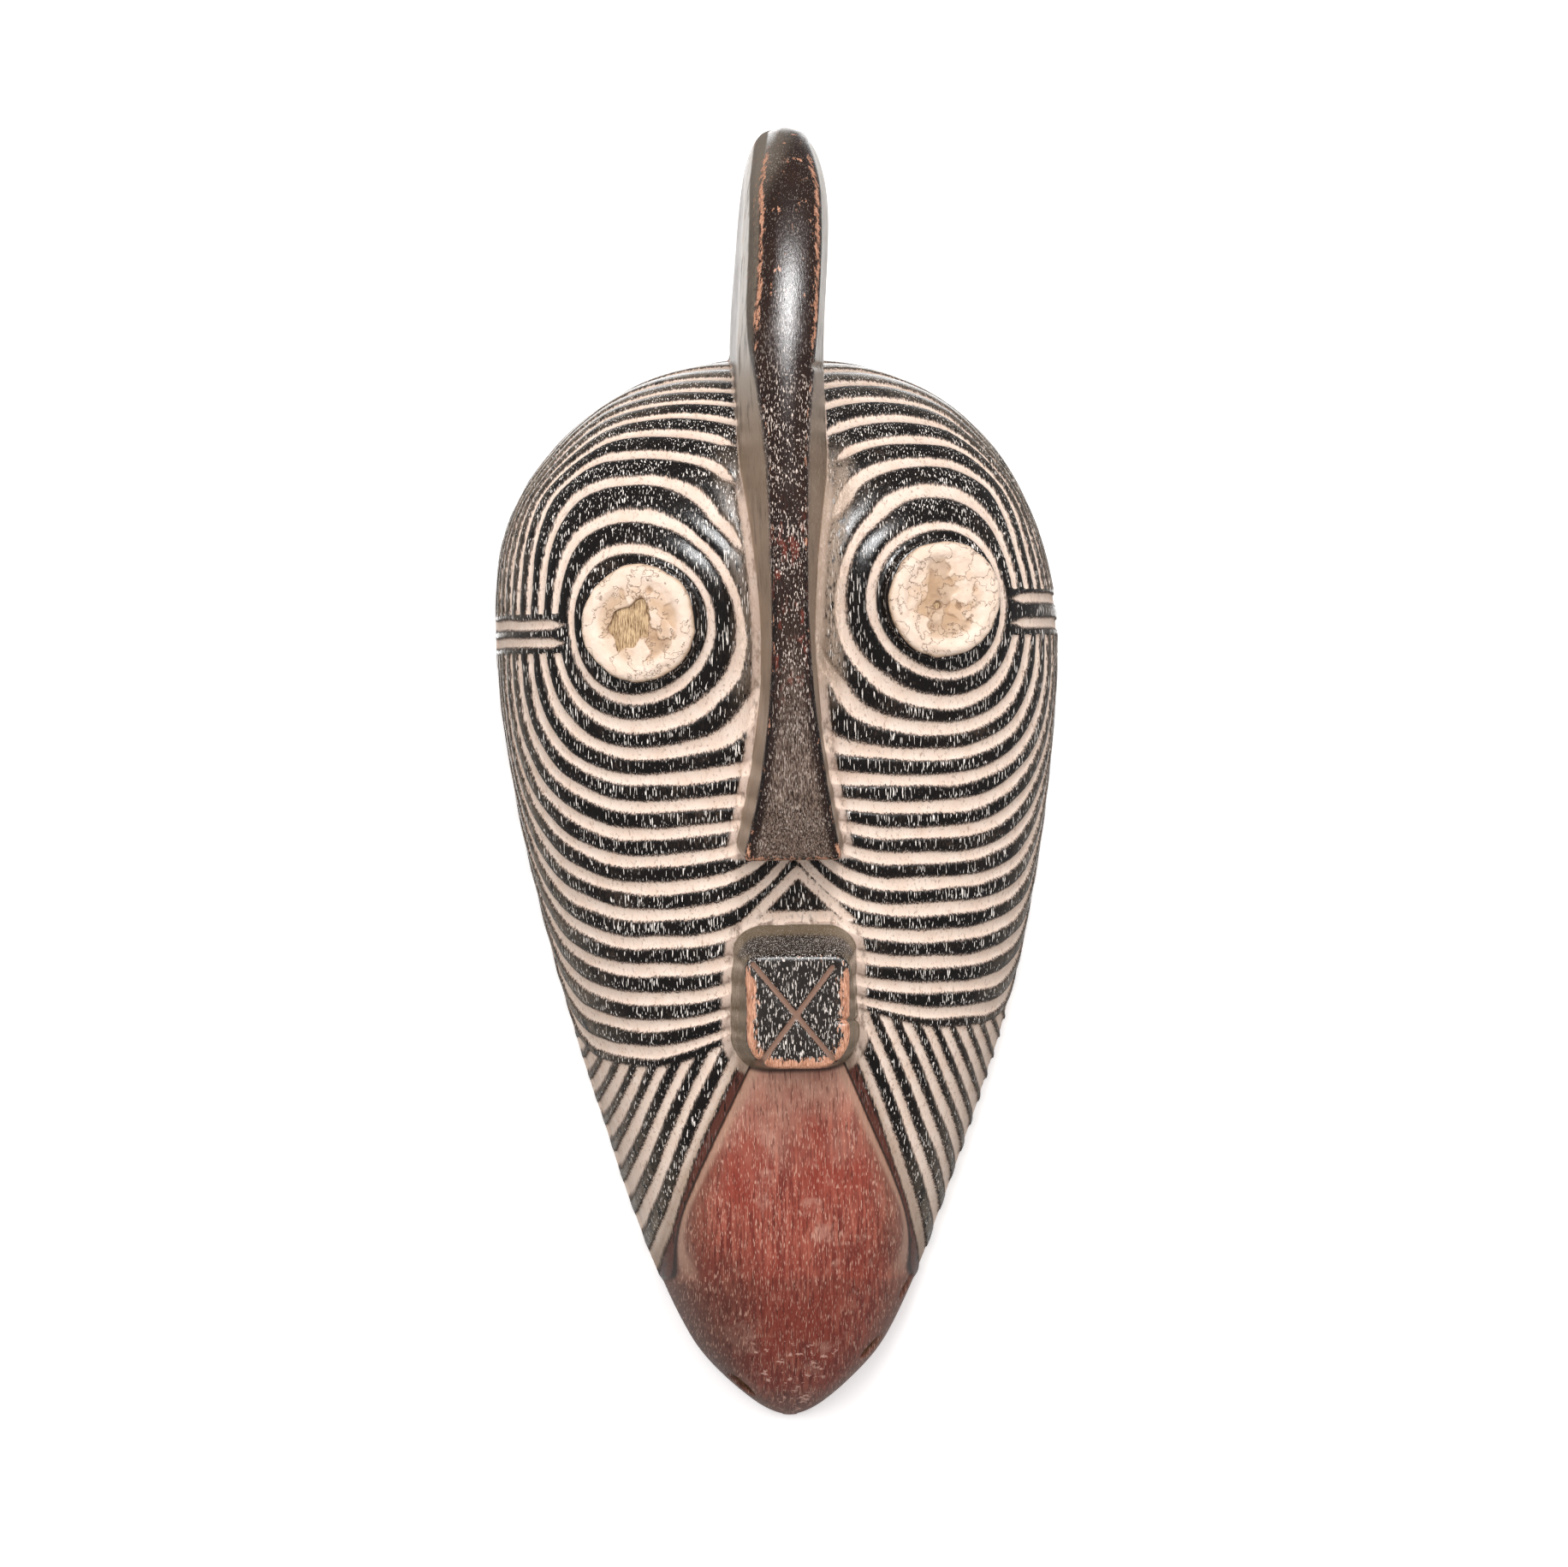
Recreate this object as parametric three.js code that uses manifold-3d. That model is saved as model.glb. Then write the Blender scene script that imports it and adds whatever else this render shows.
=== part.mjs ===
// A carved wooden face mask with a tall crest, hung on a wall by a D-ring hanger.
//
// The mask is one block of wood: a hollow ovoid head, a crest that runs down into the nose, a
// block mouth and a bulging chin. A crust of dried clay lies on each eye. A steel strap, its ring
// and two screws sit behind the crest.
//
// Millimetres, +Z up, the face looks along -Y. Shapes are worked out with the tip of the chin at
// height 0 and the flat rim at the back on y = 0. The exported group then moves them so that the
// origin is where the wall's nail bears on the ring.
import * as THREE from "three";
import { mergeVertices } from "three/addons/utils/BufferGeometryUtils.js";
import Module from "manifold-3d";

const wasm = await Module();
wasm.setup();

// Head
const HEAD_TOP = 370;
const HEAD_FOOT = 48.5; // where the cheeks end, above the chin
const WIDEST_AT = 272;
const HALF_WIDTH = 98.2;
const DEEPEST_AT = 285;
const DEPTH = 90;
const SECTION_POWER = 2.6; // how square the horizontal sections are
const CROWN_POWER = 2.25; // how square the outline over the top is
const TAPER_POWER = 1.67; // how the head narrows towards the chin
const WIDTH_TAPER = 0.00636;
const DEPTH_TAPER = 0.00421;

// Eyes: places on the face, and the swelling around each
const EYES = [
  { side: "left", x: -51.2, height: 277.5, wornHole: 6.5 },
  { side: "right", x: 54, height: 284, wornHole: 0 },
];
const EYE_SWELL = 8;
const EYE_SWELL_SPREAD = 24;
const EYE_RADIUS = 21;
const EYE_TURN = THREE.MathUtils.degToRad(18); // each eye looks this far outwards
const EYE_BOSS_PROUD = 0.8;
const CLAY_THICKNESS = 2.4;

// Crest and nose, one ridge
const NOSE_FOOT = 194;
const NOSE_TIP_DEPTH = 110;
const RIDGE_DEPTH = 117;
const CREST_TOP = 450;
const CREST_SUMMIT_DEPTH = 45; // how far in front of the wall the highest point is
const CREST_BACK = 6; // the crest's flat back stays this far in front of the rim's plane
const CREST_BACK_ROUND_FROM = 410;
const CREST_BEND_FROM = 280;
const CREST_BEND_POWER = 2.4;
const CREST_HALF_THICKNESS = 15;
const CREST_LEAN = 3.5; // the crest's top stands this far to the right
const CREST_LEAN_FROM = 365;
const CREST_LEAN_TO = 425;
const RIDGE_HALF_WIDTH = 6.2;
const RIDGE_WEDGE = 34; // the ridge widens over this distance behind its front edge
const RIDGE_CORNER = 2.5;

// Mouth block
const MOUTH = { x: 1, foot: 122, frontTop: 161, rootTop: 174, front: 98, root: 60 };
const MOUTH_FRONT_HALF = 17.8;
const MOUTH_FACE_HALF = 21.5; // where the block meets the face
const MOUTH_FACE_DEPTH = 75;

// Chin, widest and squarest at its shoulder and narrowing up to its crown behind the mouth
const CHIN_SHOULDER = { height: 48, halfWidth: 44, depth: 61 };
const CHIN_CROWN = { height: 140, halfWidth: 11, depth: 78 };
const CHIN_TIP_POWER = 0.6; // how its width grows with height, at the tip and near the shoulder
const CHIN_SIDE_POWER = 0.47;
const CHIN_SQUARE_FROM = 75; // its sections above here stand out from the cheeks with a clear step
const CHIN_UPPER_POWER = 5;

// Hollow behind the face
const HOLLOW_TOP = 356;
const HOLLOW_HALF_WIDTH = 86.2;
const HOLLOW_DEPTH = 76;
const HOLLOW_FOOT = 5;
const HOLLOW_KNEE = { height: 60, halfWidth: 36, depth: 44 };
const HOLLOW_TAPER = 0.003263;
const HOLLOW_TAPER_POWER = 1.8;

// Holes through the chin's wall for the ties of a beard or collar
const TIE_HOLE_RADIUS = 4;
const TIE_HOLE_REACH = 38; // long enough to come out in the hollow
const TIE_HOLES = [
  { side: -1, x: 18.2, depth: 17, height: 11.5, turn: 25 }, // degrees towards the front
  { side: 1, x: 30, depth: 25, height: 24, turn: 0 },
  { side: 1, x: 40, depth: 28, height: 45, turn: 0 },
];

// Hanger
const GAP = 0.3; // between touching solids
const STRAP_WIDTH = 12;
const STRAP_THICKNESS = 1.2;
const STRAP_FOOT = 372;
const CURL_RADIUS = 2.4;
const CURL_BORE = 1.3;
const RING_WIRE = 1;
const RING_BAR_HEIGHT = 392.5;
const RING_BAR_HALF = 7.6;
const RING_RISE = 13.5; // from the bar's axis to the wire's axis at the top
const SCREW_HEIGHTS = [375.2, 384.2];
const SCREW_RADIUS = 1.5;
const SCREW_LENGTH = 14;
const SCREW_HEAD_RADIUS = 2.6;
const SCREW_HEAD_HEIGHT = 1.5;

const STRAP_BACK = -CREST_BACK + GAP;
const STRAP_FACE = STRAP_BACK + STRAP_THICKNESS;
const RING_BAR_DEPTH = STRAP_BACK + CURL_RADIUS;
const HANG_POINT = new THREE.Vector3(0, RING_BAR_DEPTH, RING_BAR_HEIGHT + RING_RISE - RING_WIRE);

const finish = (colour, roughness, metalness = 0) =>
  new THREE.MeshStandardMaterial({ color: colour, roughness, metalness });
const MATERIALS = {
  wood: finish("#2c221d", 0.45),
  clay: finish("#e6cbb0", 0.9),
  steel: finish("#9b9a96", 0.35, 1),
};

// Solids ------------------------------------------------------------------------------------

// A three.js geometry as a manifold-3d solid.
function solid(geometry) {
  const bare = geometry.clone();
  bare.deleteAttribute("normal");
  bare.deleteAttribute("uv");
  const merged = mergeVertices(bare, 1e-4);
  return new wasm.Manifold(
    new wasm.Mesh({
      numProp: 3,
      vertProperties: merged.attributes.position.array,
      triVerts: new Uint32Array(merged.index.array),
    }),
  );
}

// A manifold-3d solid as a named three.js mesh.
function meshOf(name, made, material) {
  const { vertProperties, triVerts } = made.getMesh();
  const geometry = new THREE.BufferGeometry();
  geometry.setAttribute("position", new THREE.BufferAttribute(vertProperties, 3));
  geometry.setIndex(new THREE.BufferAttribute(triVerts, 1));
  const mesh = new THREE.Mesh(geometry, material);
  mesh.name = name;
  return mesh;
}

// A closed skin over a stack of rings. The rings go up or forward together, all with the same
// number of points, anticlockwise seen from the end that the stack grows towards.
function loft(rings) {
  const count = rings[0].length;
  const points = rings.flat();
  const index = [];
  for (let r = 0; r < rings.length - 1; r++) {
    for (let i = 0; i < count; i++) {
      const a = r * count + i;
      const b = r * count + ((i + 1) % count);
      index.push(a, b, b + count, a, b + count, a + count);
    }
  }
  const closeEnd = (ring, first, flip) => {
    const centre = ring.reduce((sum, p) => sum.add(p), new THREE.Vector3()).divideScalar(count);
    const hub = points.push(centre) - 1;
    for (let i = 0; i < count; i++) {
      const a = first + i;
      const b = first + ((i + 1) % count);
      index.push(hub, flip ? b : a, flip ? a : b);
    }
  };
  closeEnd(rings[0], 0, true);
  closeEnd(rings.at(-1), (rings.length - 1) * count, false);
  return new THREE.BufferGeometry().setFromPoints(points).setIndex(index);
}

const superellipse = (t, power) => Math.max(0, 1 - Math.abs(t) ** power) ** (1 / power);

// `count` + 1 heights from `low` to `high`, closer together towards `high`.
function crowdedHeights(low, high, count) {
  return evenHeights(0, Math.PI / 2, count).map((angle) => low + (high - low) * Math.sin(angle));
}

function evenHeights(low, high, count) {
  return Array.from({ length: count + 1 }, (_, i) => low + ((high - low) * i) / count);
}

// A half superellipse that bulges towards -Y, closed by a straight back on y = back.
function bowSection(height, halfWidth, depth, options = {}) {
  const { back = 0, front = 40, straight = 6, swell = () => 0, power = SECTION_POWER } = options;
  const ring = [];
  for (let i = 0; i <= front; i++) {
    const angle = Math.PI * (1 - i / front);
    const x = halfWidth * Math.sign(Math.cos(angle)) * Math.abs(Math.cos(angle)) ** (2 / power);
    const y = -depth * Math.sin(angle) ** (2 / power);
    ring.push(new THREE.Vector3(x, y - swell(x, height), height));
  }
  if (back > 0) ring.push(new THREE.Vector3(halfWidth, back, height));
  for (let i = 1; i < straight; i++) {
    ring.push(new THREE.Vector3(halfWidth * (1 - (2 * i) / straight), back, height));
  }
  if (back > 0) ring.push(new THREE.Vector3(-halfWidth, back, height));
  return ring;
}

// The carving ---------------------------------------------------------------------------------

function headHalfWidth(height) {
  if (height > WIDEST_AT) {
    return HALF_WIDTH * superellipse((height - WIDEST_AT) / (HEAD_TOP - WIDEST_AT), CROWN_POWER);
  }
  return HALF_WIDTH - WIDTH_TAPER * (WIDEST_AT - height) ** TAPER_POWER;
}

function headDepth(height) {
  if (height > DEEPEST_AT) {
    return DEPTH * superellipse((height - DEEPEST_AT) / (HEAD_TOP - DEEPEST_AT), CROWN_POWER);
  }
  return DEPTH - DEPTH_TAPER * (DEEPEST_AT - height) ** TAPER_POWER;
}

function eyeSwell(x, height) {
  return EYES.reduce((sum, eye) => {
    const away = (x - eye.x) ** 2 + (height - eye.height) ** 2;
    return sum + EYE_SWELL * Math.exp(-away / (2 * EYE_SWELL_SPREAD ** 2));
  }, 0);
}

// How far in front of the rim's plane the head's surface is.
function faceDepth(x, height) {
  return headDepth(height) * superellipse(x / headHalfWidth(height), SECTION_POWER) + eyeSwell(x, height);
}

function head() {
  const nearlyTop = HEAD_TOP - 0.02;
  const heights = [
    ...evenHeights(HEAD_FOOT, WIDEST_AT, 14).slice(0, -1),
    ...crowdedHeights(WIDEST_AT, nearlyTop, 14),
  ];
  return loft(
    heights.map((height) => {
      const fade = THREE.MathUtils.smoothstep(HEAD_TOP - height, 0, 30);
      const swell = (x, h) => fade * eyeSwell(x, h) * superellipse(x / headHalfWidth(h), SECTION_POWER);
      return bowSection(height, headHalfWidth(height), headDepth(height), { swell });
    }),
  );
}

function chin() {
  const { height: shoulder, halfWidth, depth } = CHIN_SHOULDER;
  const low = crowdedHeights(0, 1, 9).map((t) => 1 - t).reverse();
  const rings = low.map((share) => {
    const size = Math.max(share, 0.004);
    const sideways = THREE.MathUtils.smoothstep(size, 0.1, 0.6);
    const power = THREE.MathUtils.lerp(CHIN_TIP_POWER, CHIN_SIDE_POWER, sideways);
    return bowSection(share * shoulder, halfWidth * size ** power, depth * size ** 0.5, { front: 28 });
  });
  for (const share of evenHeights(0, 1, 9).slice(1)) {
    const height = THREE.MathUtils.lerp(shoulder, CHIN_CROWN.height, share);
    const squareness = THREE.MathUtils.smoothstep(height, shoulder, CHIN_SQUARE_FROM);
    rings.push(
      bowSection(
        height,
        THREE.MathUtils.lerp(halfWidth, CHIN_CROWN.halfWidth, share ** 1.6),
        THREE.MathUtils.lerp(depth, CHIN_CROWN.depth, share ** 0.75),
        { front: 28, power: THREE.MathUtils.lerp(SECTION_POWER, CHIN_UPPER_POWER, squareness) },
      ),
    );
  }
  return loft(rings);
}

function ridgeFrontDepth(height) {
  if (height < CREST_BEND_FROM) {
    const settle = THREE.MathUtils.smoothstep(height, NOSE_FOOT - 6, NOSE_FOOT + 24);
    return THREE.MathUtils.lerp(NOSE_TIP_DEPTH, RIDGE_DEPTH, settle);
  }
  const bend = superellipse((height - CREST_BEND_FROM) / (CREST_TOP - CREST_BEND_FROM), CREST_BEND_POWER);
  return CREST_SUMMIT_DEPTH + (RIDGE_DEPTH - CREST_SUMMIT_DEPTH) * bend;
}

function ridgeBackDepth(height) {
  if (height < CREST_BACK_ROUND_FROM) return CREST_BACK;
  const round = superellipse((height - CREST_BACK_ROUND_FROM) / (CREST_TOP - CREST_BACK_ROUND_FROM), 2);
  return CREST_BACK + (CREST_SUMMIT_DEPTH - CREST_BACK) * (1 - round);
}

function ridgeFrontHalf(height) {
  const nostrils = 11 * Math.max(0, (290 - height) / 96) ** 2.2;
  const brow = 4.8 * THREE.MathUtils.smoothstep(height, 330, 385);
  const tip = 4 * THREE.MathUtils.smoothstep(height, 425, CREST_TOP);
  return RIDGE_HALF_WIDTH + nostrils + brow - tip;
}

// The ridge's half width where it is thickest.
function ridgeRootHalf(height) {
  const rounding = Math.max(0, (height - 390) / (CREST_TOP - 390));
  const crest = CREST_HALF_THICKNESS * Math.max(0, 1 - rounding ** 4) ** 0.385;
  const nose = ridgeFrontHalf(height) + 3;
  return THREE.MathUtils.lerp(nose, crest, THREE.MathUtils.smoothstep(height, 250, 345));
}

// The ridge's half width at a distance behind its front edge.
function ridgeHalf(height, behind) {
  const rounded = Math.sqrt(1 - Math.max(0, 1 - behind / RIDGE_CORNER) ** 2);
  const root = ridgeRootHalf(height);
  const front = Math.min(ridgeFrontHalf(height), root);
  return THREE.MathUtils.lerp(front, root, Math.min(1, behind / RIDGE_WEDGE)) * (0.72 + 0.28 * rounded);
}

function ridge() {
  const heights = [
    ...evenHeights(NOSE_FOOT, CREST_BEND_FROM, 7).slice(0, -1),
    ...crowdedHeights(CREST_BEND_FROM, CREST_TOP - 0.02, 18),
  ];
  const steps = [0, 0.6, 2.5, 8, 18, 32, 60];
  return loft(
    heights.map((height) => {
      const front = ridgeFrontDepth(height);
      const deep = front - (height > HEAD_TOP - 12 ? ridgeBackDepth(height) : faceDepth(0, height) - 9);
      const edge = [...steps.filter((s) => s < deep * 0.8), deep];
      while (edge.length < steps.length + 1) edge.splice(-1, 0, (edge.at(-1) + edge.at(-2)) / 2);
      const lean = CREST_LEAN * THREE.MathUtils.smoothstep(height, CREST_LEAN_FROM, CREST_LEAN_TO);
      const right = edge.map((s) => new THREE.Vector3(lean + ridgeHalf(height, s), s - front, height));
      const left = edge.map((s) => new THREE.Vector3(lean - ridgeHalf(height, s), s - front, height));
      return [...right, ...left.reverse()];
    }),
  );
}

// A rectangle with rounded corners in a plane of constant depth, anticlockwise seen from the front.
function roundedRing(x, halfWidth, low, high, depth, lowRadius, highRadius) {
  const corners = [
    [1, low, lowRadius, -90],
    [1, high, highRadius, 0],
    [-1, high, highRadius, 90],
    [-1, low, lowRadius, 180],
  ];
  return corners.flatMap(([side, edge, radius, start]) =>
    evenHeights(0, 90, 5).map((turn) => {
      const angle = THREE.MathUtils.degToRad(start + turn);
      const cx = x + side * (halfWidth - radius);
      const cz = edge === low ? low + radius : high - radius;
      return new THREE.Vector3(cx + radius * Math.cos(angle), -depth, cz + radius * Math.sin(angle));
    }),
  );
}

function mouth() {
  const { x, foot, frontTop, rootTop, front, root } = MOUTH;
  const draft = (MOUTH_FACE_HALF - MOUTH_FRONT_HALF) / (front - MOUTH_FACE_DEPTH);
  const slope = (rootTop - frontTop) / (front - MOUTH_FACE_DEPTH);
  const ring = (depth, inset) => {
    const back = front - depth;
    const top = Math.min(frontTop + slope * back, rootTop + 2) - inset;
    const half = MOUTH_FRONT_HALF + draft * back - inset;
    return roundedRing(x, half, foot + inset, top, depth, 12, 3.5 + 0.25 * back);
  };
  const sides = [root, MOUTH_FACE_DEPTH, 88, front - 1.2].map((depth) => ring(depth, 0));
  return loft([...sides, ring(front, 1)]);
}

// Moves a shape built along +Z onto an eye, looking out of the face, `proud` of the surface.
function ontoEye(geometry, eye, proud) {
  const turn = Math.sign(eye.x) * EYE_TURN;
  return geometry
    .rotateX(Math.PI / 2)
    .rotateZ(turn)
    .translate(
      eye.x + proud * Math.sin(turn),
      -faceDepth(eye.x, eye.height) - proud * Math.cos(turn),
      eye.height,
    );
}

function eyeBoss(eye) {
  const length = 18;
  const boss = new THREE.CylinderGeometry(EYE_RADIUS, EYE_RADIUS, length, 28);
  return ontoEye(boss.rotateX(Math.PI / 2).translate(0, 0, -length / 2), eye, EYE_BOSS_PROUD);
}

function hollow() {
  const halfWidth = (height) => {
    if (height < HOLLOW_KNEE.height) {
      return HOLLOW_KNEE.halfWidth * ((height - HOLLOW_FOOT) / (HOLLOW_KNEE.height - HOLLOW_FOOT)) ** 0.45;
    }
    if (height < WIDEST_AT) {
      return HOLLOW_HALF_WIDTH - HOLLOW_TAPER * (WIDEST_AT - height) ** HOLLOW_TAPER_POWER;
    }
    return HOLLOW_HALF_WIDTH * superellipse((height - WIDEST_AT) / (HOLLOW_TOP - WIDEST_AT), CROWN_POWER);
  };
  const depth = (height) => {
    if (height < HOLLOW_KNEE.height) {
      return HOLLOW_KNEE.depth * ((height - HOLLOW_FOOT) / (HOLLOW_KNEE.height - HOLLOW_FOOT)) ** 0.4;
    }
    if (height < DEEPEST_AT) {
      const rise = ((height - HOLLOW_KNEE.height) / (DEEPEST_AT - HOLLOW_KNEE.height)) ** 0.8;
      return THREE.MathUtils.lerp(HOLLOW_KNEE.depth, HOLLOW_DEPTH, rise);
    }
    return HOLLOW_DEPTH * superellipse((height - DEEPEST_AT) / (HOLLOW_TOP - DEEPEST_AT), CROWN_POWER);
  };
  const heights = [
    ...crowdedHeights(0, 1, 7)
      .map((t) => HOLLOW_KNEE.height - (HOLLOW_KNEE.height - HOLLOW_FOOT) * t)
      .reverse()
      .slice(1),
    ...evenHeights(HOLLOW_KNEE.height, WIDEST_AT, 9).slice(1, -1),
    ...crowdedHeights(WIDEST_AT, HOLLOW_TOP - 0.05, 10),
  ];
  const size = { back: 5, front: 26, straight: 2 };
  return loft(heights.map((height) => bowSection(height, halfWidth(height), depth(height), size)));
}

function tieHole({ side, x, depth, height, turn }) {
  return new THREE.CylinderGeometry(TIE_HOLE_RADIUS, TIE_HOLE_RADIUS, TIE_HOLE_REACH, 16)
    .rotateZ(Math.PI / 2)
    .rotateZ(-side * THREE.MathUtils.degToRad(turn))
    .translate(side * x, -depth, height);
}

function screwHole(height) {
  const radius = SCREW_RADIUS + GAP;
  const length = SCREW_LENGTH + 1;
  const middle = -CREST_BACK - length / 2 + 1;
  return new THREE.CylinderGeometry(radius, radius, length, 12).translate(0, middle, height);
}

function carving() {
  let made = solid(head());
  for (const form of [chin(), ridge(), mouth(), ...EYES.map(eyeBoss)]) made = made.add(solid(form));
  for (const cut of [hollow(), ...TIE_HOLES.map(tieHole), ...SCREW_HEIGHTS.map(screwHole)]) {
    made = made.subtract(solid(cut));
  }
  return meshOf("mask_carving", made, MATERIALS.wood);
}

// Clay on the eyes ------------------------------------------------------------------------------

// A dished crust with a raised edge. Where it is worn through, it has a hole in the middle.
function eyeClay(eye) {
  const radius = EYE_RADIUS - 0.5;
  const hole = eye.wornHole;
  const dishDepth = 1.3;
  const outline = [
    [radius, 0],
    [radius, CLAY_THICKNESS * 0.6],
    [radius - 1.5, CLAY_THICKNESS],
    [radius - 4, CLAY_THICKNESS],
    [radius * 0.55, CLAY_THICKNESS - dishDepth * 0.8],
    [Math.max(hole, 0), CLAY_THICKNESS - dishDepth],
    [Math.max(hole, 0), 0],
    [radius, 0],
  ];
  if (!hole) outline.pop();
  const points = outline.map(([r, z]) => new THREE.Vector2(r, z));
  if (!hole) points.unshift(points.pop());
  const crust = new THREE.LatheGeometry(points, 32).rotateX(Math.PI / 2);
  return meshOf(`${eye.side}_eye_clay`, solid(ontoEye(crust, eye, EYE_BOSS_PROUD + GAP)), MATERIALS.clay);
}

// Hanger ------------------------------------------------------------------------------------------

// The strap's side view, drawn with x as depth and y as height, then extruded across its width.
function hangerStrap() {
  const side = new THREE.Shape();
  side.moveTo(STRAP_BACK, STRAP_FOOT);
  side.lineTo(STRAP_FACE, STRAP_FOOT);
  const curlDrop = Math.sqrt(CURL_RADIUS ** 2 - (RING_BAR_DEPTH - STRAP_FACE) ** 2);
  side.lineTo(STRAP_FACE, RING_BAR_HEIGHT - curlDrop);
  const start = Math.atan2(side.currentPoint.y - RING_BAR_HEIGHT, STRAP_FACE - RING_BAR_DEPTH);
  side.absarc(RING_BAR_DEPTH, RING_BAR_HEIGHT, CURL_RADIUS, start, Math.PI, false);
  const eye = new THREE.Path();
  eye.absarc(RING_BAR_DEPTH, RING_BAR_HEIGHT, CURL_BORE, 0, 2 * Math.PI, true);
  side.holes.push(eye);
  const across = { depth: STRAP_WIDTH, bevelEnabled: false, curveSegments: 14 };
  const sheet = new THREE.ExtrudeGeometry(side, across);
  // The shape's x, y and its extrusion become y, z and x.
  const turn = new THREE.Matrix4().makeBasis(
    new THREE.Vector3(0, 1, 0),
    new THREE.Vector3(0, 0, 1),
    new THREE.Vector3(1, 0, 0),
  );
  let made = solid(sheet.applyMatrix4(turn).translate(-STRAP_WIDTH / 2, 0, 0));
  const radius = SCREW_RADIUS + GAP;
  for (const height of SCREW_HEIGHTS) {
    const bore = new THREE.CylinderGeometry(radius, radius, 10, 12).translate(0, STRAP_BACK, height);
    made = made.subtract(solid(bore));
  }
  return meshOf("hanger_strap", made, MATERIALS.steel);
}

// Round wire bent to a D whose ends meet inside the strap's curl.
function hangerRing() {
  const half = RING_BAR_HALF;
  const at = (x, z) => new THREE.Vector3(x, RING_BAR_DEPTH, RING_BAR_HEIGHT + z);
  const wire = new THREE.CatmullRomCurve3(
    [
      at(0.3, 0),
      at(half * 0.45, 0),
      at(half * 0.85, 0.25),
      at(half + 0.9, 2),
      at(half + 0.4, 5.5),
      at(half * 0.72, 10.6),
      at(half * 0.36, 12.9),
      at(0, RING_RISE),
      at(-half * 0.36, 12.9),
      at(-half * 0.72, 10.6),
      at(-half - 0.4, 5.5),
      at(-half - 0.9, 2),
      at(-half * 0.85, 0.25),
      at(-half * 0.45, 0),
      at(-0.3, 0),
    ],
    false,
    "centripetal",
  );
  const section = new THREE.Shape();
  section.absarc(0, 0, RING_WIRE, 0, 2 * Math.PI);
  const bent = new THREE.ExtrudeGeometry(section, { extrudePath: wire, steps: 44, curveSegments: 5 });
  return meshOf("hanger_ring", solid(bent), MATERIALS.steel);
}

function hangerScrew(height, index) {
  const underHead = STRAP_FACE + GAP;
  const tip = SCREW_LENGTH - 1.5;
  const outline = [
    [0, SCREW_HEAD_HEIGHT],
    [SCREW_HEAD_RADIUS * 0.6, SCREW_HEAD_HEIGHT * 0.9],
    [SCREW_HEAD_RADIUS, SCREW_HEAD_HEIGHT * 0.35],
    [SCREW_HEAD_RADIUS, 0],
    [SCREW_RADIUS, 0],
    [SCREW_RADIUS, -tip + 3],
    [0, -tip],
  ];
  const points = outline.map(([r, y]) => new THREE.Vector2(r, y)).reverse();
  const screw = new THREE.LatheGeometry(points, 16).translate(0, underHead, height);
  return meshOf(`hanger_screw_${index + 1}`, solid(screw), MATERIALS.steel);
}

const mask = new THREE.Group();
mask.add(carving(), ...EYES.map(eyeClay), hangerStrap(), hangerRing(), ...SCREW_HEIGHTS.map(hangerScrew));
mask.position.copy(HANG_POINT).negate();

export default mask;
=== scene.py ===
# The looks of a carved wooden mask: its carved bands, rubbed-in clay, stain and wear, with some
# painted shade, highlight and sheen.
#
# The wood is worked out as a distance field and meshed once. All its shape functions take and give
# millimetres in the mask's own frame: x to the right, y back from the flat rim's plane, z up from
# the tip of the chin. Everything else is in metres, in the frame of the imported model.
import math
from types import SimpleNamespace

import bpy
import numpy as np
import openvdb
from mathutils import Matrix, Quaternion, Vector


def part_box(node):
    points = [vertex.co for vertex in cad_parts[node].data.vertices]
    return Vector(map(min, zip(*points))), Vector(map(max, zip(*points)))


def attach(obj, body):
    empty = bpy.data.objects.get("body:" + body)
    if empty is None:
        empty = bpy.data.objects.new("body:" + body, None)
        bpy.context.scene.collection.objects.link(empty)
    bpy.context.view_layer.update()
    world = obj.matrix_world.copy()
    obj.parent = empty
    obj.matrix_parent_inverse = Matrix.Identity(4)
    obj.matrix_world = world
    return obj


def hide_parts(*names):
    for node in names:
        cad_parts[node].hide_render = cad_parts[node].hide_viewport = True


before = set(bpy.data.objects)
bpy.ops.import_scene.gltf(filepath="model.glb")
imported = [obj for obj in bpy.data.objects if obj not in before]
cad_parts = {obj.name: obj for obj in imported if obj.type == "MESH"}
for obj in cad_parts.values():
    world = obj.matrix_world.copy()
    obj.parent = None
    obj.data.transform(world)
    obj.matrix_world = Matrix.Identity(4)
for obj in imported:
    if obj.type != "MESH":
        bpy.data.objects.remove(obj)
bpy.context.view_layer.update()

MM = 0.001
LOW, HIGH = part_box("mask_carving")
RIM_CENTRE = np.array([(LOW[0] + HIGH[0]) / 2, HIGH[1], LOW[2]])
VOXEL = 0.85

# Head
HEAD_TOP, HEAD_FOOT = 370.0, 48.5
WIDEST_AT, HALF_WIDTH = 272.0, 98.2
DEEPEST_AT, DEPTH = 285.0, 90.0
SECTION_POWER, CROWN_POWER = 2.6, 2.25
TAPER_POWER, WIDTH_TAPER, DEPTH_TAPER = 1.67, 0.00636, 0.00421

# Eyes: x, height and how many degrees each looks outwards
EYES = {"left": (-51.2, 277.5, -18.0), "right": (54.0, 284.0, 18.0)}
EYE_SWELL, EYE_SWELL_SPREAD = 8.0, 24.0
EYE_RADIUS, EYE_BOSS_PROUD, EYE_BOSS_DEPTH = 21.0, 0.8, 18.0
WORN_HOLE_RADIUS = 6.3

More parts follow.
